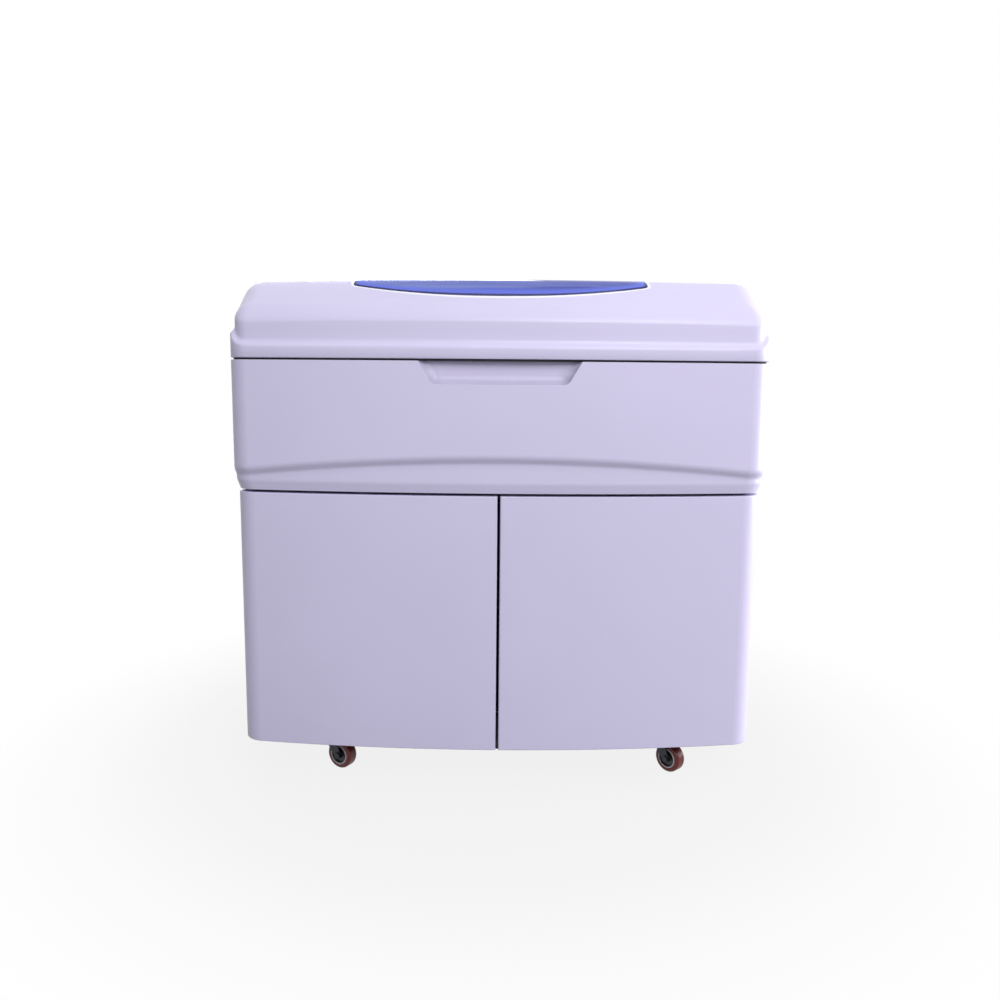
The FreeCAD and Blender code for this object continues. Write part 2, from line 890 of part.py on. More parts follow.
def door_ribs(axis):
    """Grid of stiffening ribs on the door's inner side."""
    x0 = door_gap / 2
    x1 = axis.x - corner_radius
    ribs = []
    for step in range(1, door_rib_columns):
        x = x0 + (x1 - x0) * step / (door_rib_columns - 1)
        ribs.append(block(x, x + door_rib, -body_front, axis.y, skirt_bottom, door_top))
    for step in range(1, door_rib_rows):
        z = skirt_bottom + (door_top - skirt_bottom) * step / door_rib_rows
        ribs.append(block(x0, x1, -body_front, axis.y, z, z + door_rib))
    band = door_layer(door_skin / 2, skirt_bottom, door_top).cut(door_layer(door_rib_depth, skirt_bottom, door_top))
    return [rib.common(band) for rib in ribs]


def door_body():
    """The doors' outer form round the machine, with its rims rounded at top and bottom."""
    corners = [Vector(2 * door_edge_round, 0, skirt_bottom),
               Vector(0, 0, skirt_bottom),
               Vector(0, 0, door_top),
               Vector(2 * door_edge_round, 0, door_top)]
    sections = []
    for point in blended(corners, (door_edge_round, door_edge_round))[1:-1]:
        sections.append(outline(door_half_width - point.x, door_front - point.x, body_rear,
                                corner_radius - point.x, point.z, point.z, point.z))
    return Part.makeLoft(sections, True, True)


def gap_bevel():
    """Cutter that takes the sharp edge off the door where it meets the other one."""
    front = -door_front - door_edge_round
    corners = [Vector(0, front, skirt_bottom),
               Vector(door_gap / 2 + 2 * door_edge_round, front, skirt_bottom),
               Vector(0, front + door_gap / 2 + 2 * door_edge_round, skirt_bottom)]
    return Part.Face(Part.makePolygon(corners + corners[:1])).extrude(UP * (door_top - skirt_bottom))


def right_door():
    """Moulded door: skin wrapped round the corner, rims, ribs and two hinge lugs."""
    axis = pivot()
    end_y = axis.y + door_return
    reach = block(door_gap / 2, body_half_width, -body_front, end_y, skirt_bottom, door_top)
    inner = door_layer(door_depth, skirt_bottom, door_top)
    cavity_reach = block(door_gap / 2 + door_skin, body_half_width, -body_front, end_y,
                         skirt_bottom + door_skin, door_top - door_skin)
    cavity = door_layer(door_skin, skirt_bottom, door_top).common(cavity_reach)
    door = door_body().common(reach).cut([inner, cavity, gap_bevel()])
    lugs = []
    for z0 in lug_heights():
        z1 = z0 + hinge_lug_height
        lugs.append(rod(axis.x, axis.y, z0, z1, hinge_boss_radius))
        lugs.append(block(axis.x, door_half_width - door_skin / 2, axis.y - hinge_boss_radius,
                          axis.y + hinge_boss_radius, z0, z1))
    door = door.fuse(door_ribs(axis) + lugs)
    for z0 in lug_heights():
        door = door.cut(rod(axis.x, axis.y, z0, z0 + hinge_lug_height, hinge_pin_radius + running_gap))
    return door


def lug_heights():
    """Lower faces of the two hinge lugs."""
    low = skirt_bottom + hinge_from_end + hinge_plate + face_gap
    high = door_top - hinge_from_end - hinge_plate - face_gap - hinge_lug_height
    return low, high


def door_brackets():
    """Two hinge brackets of the right door, each a plate with a pin."""
    axis = pivot()
    low, high = lug_heights()
    plates = [low - face_gap - hinge_plate, high + hinge_lug_height + face_gap]
    pins = [(plates[0], low + hinge_lug_height + face_gap), (high - face_gap, plates[1] + hinge_plate)]
    brackets = []
    for plate_z, pin_z in zip(plates, pins):
        plate = rod(axis.x, axis.y, plate_z, plate_z + hinge_plate, hinge_boss_radius)
        arm = block(frame_half_width, axis.x, axis.y - hinge_boss_radius, axis.y + hinge_boss_radius,
                    plate_z, plate_z + hinge_plate)
        pin = rod(axis.x, axis.y, pin_z[0], pin_z[1], hinge_pin_radius)
        brackets.append(merged([plate, arm, pin]))
    return brackets


# Side and rear panels

def side_panel():
    """Right side panel: sheet with its tabs on the frame's tubes."""
    start_y = pivot().y + door_return + door_panel_gap
    skin = door_layer(0, skirt_bottom, cover_bottom - panel_gap)
    skin = skin.cut(door_layer(sheet, skirt_bottom, cover_bottom - panel_gap))
    edge_x = door_half_width - rear_corner_radius
    skin = skin.common(block(edge_x, body_half_width, start_y, body_rear, skirt_bottom, cover_bottom))
    tabs = []
    for z0 in (frame_bottom + tube_size, cover_bottom - tube_size - sheet):
        tabs.append(block(frame_half_width - tube_size / 2, door_half_width - sheet / 2,
                          start_y + tube_size, frame_rear() - 2 * tube_size, z0, z0 + sheet))
    return merged([skin] + tabs)


def rear_panel():
    """Flat rear sheet with the fan opening, air slots and cut-outs for inlet, switch and ports."""
    half = door_half_width - rear_corner_radius - panel_gap
    y0 = panel_face() - sheet
    panel = block(-half, half, y0, panel_face(), skirt_bottom, cover_bottom - panel_gap)
    cuts = [Part.makeCylinder(fan_bore, sheet, Vector(fan_x, y0, fan_z), TO_REAR)]
    for step in range(slot_count):
        z0 = slot_bottom + step * slot_pitch
        cuts.append(block(slot_x - slot_length / 2, slot_x + slot_length / 2, y0, panel_face(), z0, z0 + slot_width))
    cuts.append(block(inlet_x - inlet_half_length, inlet_x + inlet_half_length, y0, panel_face(),
                      inlet_z - inlet_half_height, inlet_z + inlet_half_height))
    cuts.append(block(switch_x - rocker_half_length - inlet_border, switch_x + rocker_half_length + inlet_border,
                      y0, panel_face(), inlet_z - rocker_half_height - inlet_border,
                      inlet_z + rocker_half_height + inlet_border))
    for x in port_places():
        cuts.append(Part.makeCylinder(port_radius + face_gap, sheet, Vector(x, y0, port_z), TO_REAR))
    for cut in cuts:
        panel = panel.cut(cut)
    return panel


# Rear fittings

def port_places():
    """Places of the fluid ports along the rear panel."""
    return [port_x + step * port_pitch for step in range(port_count)]


def fluid_ports():
    """Plate with hose spigots, each with a barb and a bore."""
    places = port_places()
    plate = block(places[0] - port_border, places[-1] + port_border, panel_face(), panel_face() + port_plate,
                  port_z - port_border, port_z + port_border)
    ports = [plate]
    bores = []
    for x in places:
        start = Vector(x, panel_face() - sheet - port_plate, port_z)
        length = port_length + sheet + port_plate
        tip = Vector(x, panel_face() + port_length - port_lead, port_z)
        ports.append(Part.makeCylinder(port_radius, length - port_lead, start, TO_REAR))
        ports.append(Part.makeCone(port_radius, port_tip_radius, port_lead, tip, TO_REAR))
        bores.append(Part.makeCylinder(port_bore, length, start, TO_REAR))
    solid = merged(ports)
    for bore in bores:
        solid = solid.cut(bore)
    return solid


def fan_frame():
    """Square fan housing behind the panel, with the spider that holds its spindle."""
    y0 = panel_face() - sheet - fan_depth
    y1 = panel_face() - sheet
    centre = Vector(fan_x, y0, fan_z)
    housing = block(fan_x - fan_half, fan_x + fan_half, y0, y1, fan_z - fan_half, fan_z + fan_half)
    housing = housing.cut(Part.makeCylinder(fan_bore, fan_depth, centre, TO_REAR))
    bar = block(fan_x - fan_bore - 1, fan_x + fan_bore + 1, y0, y0 + guard_wire,
                fan_z - guard_wire, fan_z + guard_wire)
    post = bar.copy()
    post.rotate(centre, TO_REAR, QUARTER_TURN)
    spindle = Part.makeCylinder(fan_spindle_radius, fan_depth / 2, centre, TO_REAR)
    return merged([housing, bar, post, spindle])


def fan_guard():
    """Wire finger guard on the outside of the rear panel, over the fan."""
    y0 = panel_face()
    y1 = y0 + guard_wire
    centre = Vector(fan_x, y0, fan_z)
    pieces = [block(fan_x - guard_reach, fan_x + guard_reach, y0, y1, fan_z - guard_wire / 2, fan_z + guard_wire / 2)]
    post = pieces[0].copy()
    post.rotate(centre, TO_REAR, QUARTER_TURN)
    pieces.append(post)
    for step in range(1, guard_rings + 1):
        radius = fan_bore * step / guard_rings
        ring = Part.makeCylinder(radius + guard_wire / 2, guard_wire, centre, TO_REAR)
        pieces.append(ring.cut(Part.makeCylinder(radius - guard_wire / 2, guard_wire, centre, TO_REAR)))
    guard = merged(pieces)
    guard.rotate(centre, TO_REAR, QUARTER_TURN / 2)
    return guard


def fan_rotor():
    """Hub with leaning blades, turning on the spindle."""
    y0 = panel_face() - sheet - fan_depth + guard_wire + face_gap
    length = fan_depth - 2 * guard_wire - 2 * face_gap - 2
    centre = Vector(fan_x, y0, fan_z)
    hub = Part.makeCylinder(fan_hub, length, centre, TO_REAR)
    pieces = [hub]
    tip = fan_bore - fan_blade_gap
    for step in range(fan_blades):
        blade = block(fan_x - fan_blade_thickness / 2, fan_x + fan_blade_thickness / 2,
                      y0 + 1, y0 + length - 1, fan_z + fan_hub / 2, fan_z + tip - fan_blade_gap)
        blade.rotate(centre + TO_REAR * (length / 2), UP, FULL_TURN / 12)
        blade.rotate(centre, TO_REAR, FULL_TURN * step / fan_blades)
        pieces.append(blade)
    rotor = merged(pieces)
    bore_depth = fan_depth / 2 - guard_wire
    return rotor.cut(Part.makeCylinder(fan_spindle_radius + running_gap, bore_depth, centre, TO_REAR))


def inlet_ring(x, half_length, half_height, depth, wall):
    """Rim on the panel's face with a sleeve through its cut-out."""
    y1 = panel_face() + inlet_border_thickness
    rim = rounded_upright(x, half_length + inlet_border, half_height + inlet_border, panel_face(), y1)
    sleeve = block(x - half_length, x + half_length, panel_face() - depth, panel_face(),
                   inlet_z - half_height, inlet_z + half_height)
    hollow = block(x - half_length + wall, x + half_length - wall, panel_face() - depth + wall, y1,
                   inlet_z - half_height + wall, inlet_z + half_height - wall)
    return merged([rim, sleeve]).cut(hollow)


def rounded_upright(x, half_length, half_height, y0, y1):
    """Plate parallel to the rear panel with rounded corners."""
    plate = block(x - half_length, x + half_length, y0, y1, inlet_z - half_height, inlet_z + half_height)
    along = [edge for edge in plate.Edges if abs(edge.tangentAt(0).y) > 0.5]
    return plate.makeFillet(inlet_round, along)


def mains_inlet():
    """Appliance inlet: a shell open to the rear, with three flat pins on its floor."""
    inlet = inlet_ring(inlet_x, inlet_half_length, inlet_half_height, inlet_depth, inlet_wall)
    pins = []
    for x, z in ((-inlet_pin_spacing, -inlet_pin_drop), (inlet_pin_spacing, -inlet_pin_drop), (0.0, inlet_pin_drop)):
        pins.append(block(inlet_x + x - inlet_pin_half_width, inlet_x + x + inlet_pin_half_width,
                          panel_face() - inlet_depth, panel_face() - inlet_pin_recess,
                          inlet_z + z - inlet_pin_half_height, inlet_z + z + inlet_pin_half_height))
    return merged([inlet] + pins)


def switch_bezel():
    """Frame of the mains switch, with the pin on which the rocker tips."""
    half_length = rocker_half_length + inlet_border
    half_height = rocker_half_height + inlet_border
    depth = inlet_depth / 2
    y1 = panel_face() + inlet_border_thickness
    rim = rounded_upright(switch_x, half_length + inlet_border, half_height + inlet_border, panel_face(), y1)
    sleeve = block(switch_x - half_length, switch_x + half_length, panel_face() - depth, panel_face(),
                   inlet_z - half_height, inlet_z + half_height)
    hollow = block(switch_x - rocker_half_length - face_gap, switch_x + rocker_half_length + face_gap,
                   panel_face() - depth + switch_wall, y1,
                   inlet_z - rocker_half_height - rocker_room, inlet_z + rocker_half_height + rocker_room)
    pin = Part.makeCylinder(rocker_pin_radius, 2 * half_length - switch_wall,
                            rocker_axis() - TO_RIGHT * (half_length - switch_wall / 2), TO_RIGHT)
    return merged([merged([rim, sleeve]).cut(hollow), pin])


def rocker_axis():
    """Middle of the pin on which the rocker tips."""
    return Vector(switch_x, panel_face() - rocker_pin_depth, inlet_z)


def rocker_switch():
    """Rocker with a hollowed face, tipped to one side on the bezel's pin."""
    y0 = panel_face() - rocker_back
    y1 = panel_face() + rocker_front
    start = rocker_axis() - TO_RIGHT * rocker_half_length
    length = 2 * rocker_half_length
    body = block(switch_x - rocker_half_length, switch_x + rocker_half_length, y0, y1,
                 inlet_z - rocker_half_height, inlet_z + rocker_half_height)
    dish_centre = Vector(start.x, y1 + rocker_round - switch_wall, inlet_z)
    dish = Part.makeCylinder(rocker_round, length, dish_centre, TO_RIGHT)
    foot = Part.makeCylinder(rocker_half_height, length, start, TO_RIGHT)
    face_side = block(switch_x - rocker_half_length, switch_x + rocker_half_length, start.y, y1,
                      inlet_z - rocker_half_height, inlet_z + rocker_half_height)
    body = body.common(merged([foot, face_side])).cut(dish)
    body = body.cut(Part.makeCylinder(rocker_pin_radius + running_gap, length, start, TO_RIGHT))
    body.rotate(rocker_axis(), TO_RIGHT, rocker_tilt)
    return body


# Worktop

def worktop():
    """Deck plate with openings for the tubs, columns, wells and the wash rod."""
    plate = level_slab(worktop_half_width, worktop_front, worktop_rear, worktop_corner,
                       worktop_height, worktop_top)
    holes = [(0, reaction_y, bath_outer() + face_gap),
             (reagent_x, reagent_y, tub_radius + face_gap),
             (sample_x, sample_y, sample_tub_radius + face_gap)]
    for side in (-1, 1):
        holes.append((side * column_x, column_y, column_radius + face_gap))
        park = park_point(side)
        holes.append((park.x, park.y, well_radius + face_gap))
    wash = wash_place(wash_column_distance)
    holes.append((wash.x, wash.y, wash_rod_radius + 1))
    for x, y, radius in holes:
        plate = plate.cut(rod(x, y, worktop_height, worktop_top, radius))
    return plate


def bath_outer():
    """Outer radius of the reaction bath."""
    return cuvette_ring + trough_half_width + bath_wall


def reaction_bath():
    """Ring-shaped trough with a bearing boss, hung on the worktop by its flange."""
    inner = cuvette_ring - trough_half_width
    outer = cuvette_ring + trough_half_width
    floor = bath_floor + bath_wall
    boss = spindle_radius + boss_width
    flange = worktop_top
    bore = spindle_radius + running_gap
    profile = [(bore, bath_floor), (bath_outer(), bath_floor), (bath_outer(), flange),
               (bath_outer() + flange_width, flange), (bath_outer() + flange_width, flange + flange_thickness),
               (bath_outer(), flange + flange_thickness), (bath_outer(), bath_rim), (outer, bath_rim),
               (outer, floor), (inner, floor), (inner, bath_rim), (inner - bath_wall, bath_rim),
               (inner - bath_wall, floor), (boss, floor), (boss, floor + boss_height), (bore, floor + boss_height)]
    return turned(profile, 0, reaction_y)


def cuvette_angles():
    """Angles of the cuvettes round the disk."""
    return [FULL_TURN * step / cuvette_count for step in range(cuvette_count)]


def upright_square(angle, half, z0, z1):
    """Square prism on the cuvette ring, turned to face the centre."""
    prism = block(cuvette_ring - half, cuvette_ring + half, -half, half, z0, z1)
    prism.rotate(Vector(0, 0, 0), UP, angle)
    prism.translate(TO_REAR * reaction_y)
    return prism


def reaction_disk():
    """Disk with a hole for each cuvette, its hub and spindle."""
    top = disk_bottom + disk_thickness
    hub_bottom = bath_floor + bath_wall + boss_height + face_gap
    hub = spindle_radius + boss_width - 2
    profile = [(0, bath_floor), (spindle_radius, bath_floor), (spindle_radius, hub_bottom), (hub, hub_bottom),
               (hub, disk_bottom), (disk_radius, disk_bottom), (disk_radius, top), (0, top)]
    disk = turned(profile, 0, reaction_y)
    half = cuvette_size / 2 + face_gap
    holes = [upright_square(angle, half, disk_bottom, top) for angle in cuvette_angles()]
    return disk.cut(Part.makeCompound(holes))


def cuvettes():
    """Square cups that hang in the disk by their lips."""
    top = disk_bottom + disk_thickness
    half = cuvette_size / 2
    bottom = top - cuvette_depth
    cups = []
    for angle in cuvette_angles():
        body = upright_square(angle, half, bottom, top + cuvette_lip_height)
        lip = upright_square(angle, half + cuvette_lip, top, top + cuvette_lip_height)
        hollow = upright_square(angle, half - cuvette_wall, bottom + cuvette_wall, top + cuvette_lip_height)
        cups.append(body.fuse(lip).cut(hollow))
    return Part.makeCompound(cups)


# Reagent and sample stores

def tub(x, y, radius, depth, rise, bore):
    """Round tub with a bearing boss, hung on the worktop by its flange."""
    flange = worktop_top
    bottom = flange - depth
    floor = bottom + tub_wall
    boss = bore + boss_width
    inner = radius - tub_wall
    profile = [(bore, bottom), (radius, bottom), (radius, flange), (radius + flange_width, flange),
               (radius + flange_width, flange + flange_thickness), (radius, flange + flange_thickness),
               (radius, flange + rise), (inner, flange + rise), (inner, floor), (boss, floor),
               (boss, floor + boss_width), (bore, floor + boss_width)]
    return turned(profile, x, y)


def reagent_plate_bottom():
    """Underside of the reagent rotor's plate."""
    return worktop_top - tub_depth + tub_wall + boss_width + face_gap


def reagent_rotor():
    """Plate that carries the bottles, with a spindle and a centre post."""
    z0 = reagent_plate_bottom()
    bottom = worktop_top - tub_depth
    edge = tub_radius - tub_wall - rotor_clearance
    post = spindle_radius * 2
    profile = [(0, bottom), (spindle_radius, bottom), (spindle_radius, z0), (edge, z0),
               (edge, z0 + rotor_plate * 2), (edge - rotor_plate, z0 + rotor_plate * 2),
               (edge - rotor_plate, z0 + rotor_plate), (post, z0 + rotor_plate),
               (post, z0 + rotor_plate + bottle_height), (0, z0 + rotor_plate + bottle_height)]
    return turned(profile, reagent_x, reagent_y)


def bottle_angles():
    """Angles of the reagent bottles, one of them under the probe."""
    toward = pick_point(1) - Vector(reagent_x, reagent_y, 0)
    first = math.degrees(math.atan2(toward.y, toward.x))
    return [first + FULL_TURN * step / bottle_count for step in range(bottle_count)]


def reagent_bottles():
    """Round bottles with open necks, standing on the rotor's plate."""
    z0 = reagent_plate_bottom() + rotor_plate
    z1 = z0 + bottle_height
    top = z1 + neck_height
    wall = bottle_wall
    shoulder = bottle_radius / 3
    profile = [(0, z0), (bottle_radius, z0), (bottle_radius, z1 - shoulder), (neck_radius, z1), (neck_radius, top),
               (neck_radius - wall, top), (neck_radius - wall, z1), (bottle_radius - wall, z1 - shoulder - wall),
               (bottle_radius - wall, z0 + wall), (0, z0 + wall)]
    bottles = []
    for angle in bottle_angles():
        place = on_ring(reagent_x, reagent_y, reagent_ring, angle)
        bottles.append(turned(profile, place.x, place.y))
    return Part.makeCompound(bottles)


def reagent_cover():
    """Loose cover on the reagent tub, with a centring skirt, a knob and the probe's hole."""
    z0 = worktop_top + tub_rise
    z1 = z0 + lid_plate
    inner = tub_radius - tub_wall - face_gap
    edge = tub_radius + 2
    profile = [(0, z0), (inner - 2, z0), (inner - 2, z0 - 2), (inner, z0 - 2), (inner, z0), (edge, z0), (edge, z1 - 1),
               (edge - 1, z1), (knob_radius, z1), (knob_radius - 3, z1 + 6), (knob_radius, z1 + knob_height - 3),
               (knob_radius - 3, z1 + knob_height), (0, z1 + knob_height)]
    cover = turned(profile, reagent_x, reagent_y)
    place = pick_point(1)
    return cover.cut(rod(place.x, place.y, z0 - 2, z1, pick_hole_radius))


def sample_rotor():
    """Two plates on a post: the lower carries the tubes, the upper holds them upright."""
    flange = worktop_top
    bottom = flange - sample_tub_depth
    z0 = bottom + tub_wall + boss_width + face_gap
    edge = sample_tub_radius - tub_wall - rotor_clearance
    post = spindle_radius * 2
    top = rotor_upper_plate + rotor_plate
    profile = [(0, bottom), (spindle_radius, bottom), (spindle_radius, z0), (edge, z0), (edge, z0 + rotor_plate),
               (post, z0 + rotor_plate), (post, rotor_upper_plate), (edge, rotor_upper_plate), (edge, top),
               (post, top), (post - 4, top + knob_height), (0, top + knob_height)]
    rotor = turned(profile, sample_x, sample_y)
    holes = []
    for angle in tube_angles():
        place = on_ring(sample_x, sample_y, sample_ring, angle)
        holes.append(rod(place.x, place.y, rotor_upper_plate, top, sample_tube_radius + tube_hole_gap))
    return rotor.cut(Part.makeCompound(holes))


def tube_angles():
    """Angles of the sample tubes, one of them under the probe."""
    toward = pick_point(-1) - Vector(sample_x, sample_y, 0)
    first = math.degrees(math.atan2(toward.y, toward.x))
    return [first + FULL_TURN * step / tube_count for step in range(tube_count)]


def sample_tubes():
    """Open tubes standing on the rotor's lower plate."""
    z0 = worktop_top - sample_tub_depth + tub_wall + boss_width + face_gap + rotor_plate
    z1 = z0 + sample_tube_length
    outer = sample_tube_radius
    inner = sample_tube_radius - sample_tube_wall
    profile = [(0, z0), (outer / 2, z0), (outer, z0 + outer / 2), (outer, z1), (inner, z1),
               (inner, z0 + outer / 2 + 1), (inner / 2, z0 + 1), (0, z0 + 1)]
    tubes = []
    for angle in tube_angles():
        place = on_ring(sample_x, sample_y, sample_ring, angle)
        tubes.append(turned(profile, place.x, place.y))
    return Part.makeCompound(tubes)


# Probe arms. Side -1 is the sample arm, side 1 the reagent arm.

def column(side):
    """Axis of an arm's column."""
    return Vector(side * column_x, column_y, 0)


def ring_target(side):
    """Cuvette that the arm reaches, a whole number of steps from the disk's front."""
    angle = -QUARTER_TURN + side * target_steps * FULL_TURN / cuvette_count
    return on_ring(0, reaction_y, cuvette_ring, angle)


def arm_reach():
    """Distance from column to needle."""
    return (ring_target(1) - column(1)).Length


def pick_point(side):
    """Place over the store's ring that the needle reaches, the one nearer the front."""
    centre = Vector(reagent_x, reagent_y, 0) if side > 0 else Vector(sample_x, sample_y, 0)
    ring = reagent_ring if side > 0 else sample_ring
    gap = centre - column(side)
    along = (gap.Length ** 2 + arm_reach() ** 2 - ring ** 2) / (2 * gap.Length)
    across = math.sqrt(arm_reach() ** 2 - along ** 2)
    unit = Vector(gap).normalize()
    sideways = Vector(unit.y, -unit.x, 0) * side
    return column(side) + unit * along + sideways * across


def park_point(side):
    """Wash well at which the needle rests, straight in front of the column."""
    return column(side) + Vector(0, -arm_reach(), 0)


def arm_columns():
    """Bushes on the worktop, each with a bracket and a guide rod underneath."""
    columns = []
    flange = worktop_top
    low_end = carriage_top - carriage_height - lift_travel - face_gap
    for side in (-1, 1):
        place = column(side)
        x, y = place.x, place.y
        body = rod(x, y, column_bottom, column_top, column_radius)
        ring = rod(x, y, flange, flange + flange_thickness, column_flange)
        bracket = block(x - guide_radius * 2, x + guide_radius * 2, y, y + guide_offset + guide_radius * 2,
                        column_bottom, column_bottom + flange_thickness * 2)
        guide = rod(x, y + guide_offset, low_end, column_bottom + 1, guide_radius)
        solid = merged([body, ring, bracket, guide])
        columns.append(solid.cut(rod(x, y, column_bottom, column_top, arm_shaft_radius + running_gap)))
    return Part.makeCompound(columns)


def carriage(side):
    """Lifting block that runs on the guide rod and carries the arm's shaft."""
    place = column(side)
    x, y = place.x, place.y
    z0 = carriage_top - carriage_height
    half = collar_radius + 4
    block_body = rounded_block(x - half, x + half, y - half, y + guide_offset + half, z0, carriage_top, 8.0)
    block_body = block_body.cut(rod(x, y, z0, carriage_top, arm_shaft_radius + running_gap))
    return block_body.cut(rod(x, y + guide_offset, z0, carriage_top, guide_radius + running_gap))


def arm(side):
    """Arm cover, hollow underneath, on its shaft with two collars at the carriage."""
    place = column(side)
    x, y = place.x, place.y
    reach = arm_reach()
    top = arm_bottom + arm_height
    back = [Vector(x - arm_half_width, y, arm_bottom), Vector(x, y + arm_half_width, arm_bottom),
            Vector(x + arm_half_width, y, arm_bottom)]
    tip_y = y - reach
    tip = [Vector(x + arm_tip_half_width, tip_y, arm_bottom),
           Vector(x, tip_y - arm_tip_half_width, arm_bottom), Vector(x - arm_tip_half_width, tip_y, arm_bottom)]
    wire = Part.Wire([Part.Arc(*back).toShape(), Part.makeLine(back[2], tip[0]),
                      Part.Arc(*tip).toShape(), Part.makeLine(tip[2], back[0])])
    cover = Part.Face(wire).extrude(UP * arm_height)
    rim = [edge for edge in cover.Edges if edge.CenterOfMass.z > top - 0.1]
    cover = cover.makeFillet(4.0, rim)
    inner = Part.Face(wire.makeOffset2D(-arm_wall)).extrude(UP * (arm_height - arm_wall * 2))
    cover = cover.cut(inner)
    boss = rod(x, y, arm_bottom, top - arm_wall, arm_shaft_radius + 3)
    holder = rod(x, tip_y, arm_bottom, top - arm_wall, needle_holder_radius + 2)
    z0 = carriage_top - carriage_height
    shaft = rod(x, y, z0 - face_gap - collar_height, top - arm_wall, arm_shaft_radius)
    collars = [rod(x, y, carriage_top + face_gap, carriage_top + face_gap + collar_height, collar_radius),
               rod(x, y, z0 - face_gap - collar_height, z0 - face_gap, collar_radius)]
    solid = merged([cover, boss, holder, shaft] + collars)
    return solid.cut(rod(x, tip_y, arm_bottom, arm_bottom + needle_holder_length / 2, needle_holder_radius))


def needle(side):
    """Steel needle in its holder under the arm's tip."""
    place = park_point(side)
    x, y = place.x, place.y
    holder = rod(x, y, arm_bottom - needle_holder_length / 2, arm_bottom + needle_holder_length / 2,
                 needle_holder_radius)
    return merged([holder, rod(x, y, needle_bottom, arm_bottom, needle_radius)])


def wash_wells():
    """Cups in the worktop into which the needles are lowered to be rinsed."""
    flange = worktop_top
    wells = []
    for side in (-1, 1):
        place = park_point(side)
        bottom = well_top - well_depth
        profile = [(0, bottom), (well_radius, bottom), (well_radius, flange), (well_radius + flange_width, flange),
                   (well_radius + flange_width, flange + flange_thickness), (well_radius, flange + flange_thickness),
                   (well_radius, well_top), (well_bore, well_top), (well_bore, bottom + 3), (0, bottom + 3)]
        wells.append(turned(profile, place.x, place.y))
    return Part.makeCompound(wells)


# Wash head and photometer

def wash_angle():
    """Direction of the wash head from the disk's centre."""
    return -QUARTER_TURN - wash_step * FULL_TURN / cuvette_count


def wash_place(distance):
    """Point at a distance from the disk's centre, in the wash head's direction."""
    return on_ring(0, reaction_y, distance, wash_angle())


def wash_column():
    """Bush that guides the wash head's rod."""
    place = wash_place(wash_column_distance)
    flange = worktop_top
    body = rod(place.x, place.y, flange, wash_column_top, wash_column_radius)
    foot = rod(place.x, place.y, flange, flange + flange_thickness, wash_column_radius + flange_width)
    bore = rod(place.x, place.y, flange, wash_column_top, wash_rod_radius + running_gap)
    return merged([body, foot]).cut(bore)


def wash_head():
    """Head with rinsing needles over three neighbouring cuvettes, on its lifting rod."""
    place = wash_place(wash_column_distance)
    z1 = wash_head_bottom + wash_head_height
    inner = cuvette_ring - trough_half_width
    head = block(inner, wash_column_distance + wash_column_radius, -wash_head_half_width, wash_head_half_width,
                 wash_head_bottom, z1)
    upright = [edge for edge in head.Edges if abs(edge.tangentAt(0).z) > 0.5]
    head = head.makeFillet(wash_column_radius, upright)
    head.rotate(Vector(0, 0, 0), UP, wash_angle())
    head.translate(TO_REAR * reaction_y)
    pieces = [head, rod(place.x, place.y, worktop_height - tube_size - wash_travel, wash_head_bottom + 1, wash_rod_radius)]
    for step in range(wash_needle_count):
        offset = step - (wash_needle_count - 1) / 2
        spot = on_ring(0, reaction_y, cuvette_ring, wash_angle() + offset * FULL_TURN / cuvette_count)
        pieces.append(rod(spot.x, spot.y, wash_needle_bottom, wash_head_bottom + 1, needle_radius))
    return merged(pieces)


def photometer():
    """Moulded lamp and detector housing behind the bath."""
    y0 = reaction_y + bath_outer() + flange_width + photometer_gap
    z0 = worktop_top
    housing = rounded_block(-photometer_half_length, photometer_half_length, y0, y0 + photometer_depth,
                            z0, z0 + photometer_height, photometer_round * 2)
    top = [edge for edge in housing.Edges if edge.CenterOfMass.z > z0 + photometer_height - 0.1]
    housing = housing.makeFillet(photometer_round, top)
    hollow = block(-photometer_half_length + photometer_round * 2, photometer_half_length - photometer_round * 2,
                   y0 + photometer_round, y0 + photometer_depth - photometer_round, z0, z0 + photometer_height - photometer_round)
    slots = []
    for step in range(box_slots):
        x = -photometer_half_length / 2 + photometer_half_length * step / (box_slots - 1)
        slots.append(block(x - 2, x + 2, y0 + photometer_depth / 4, y0 + photometer_depth * 3 / 4,
                           z0 + photometer_height / 2, z0 + photometer_height))
    return housing.cut(hollow).cut(Part.makeCompound(slots))


# Lower bay

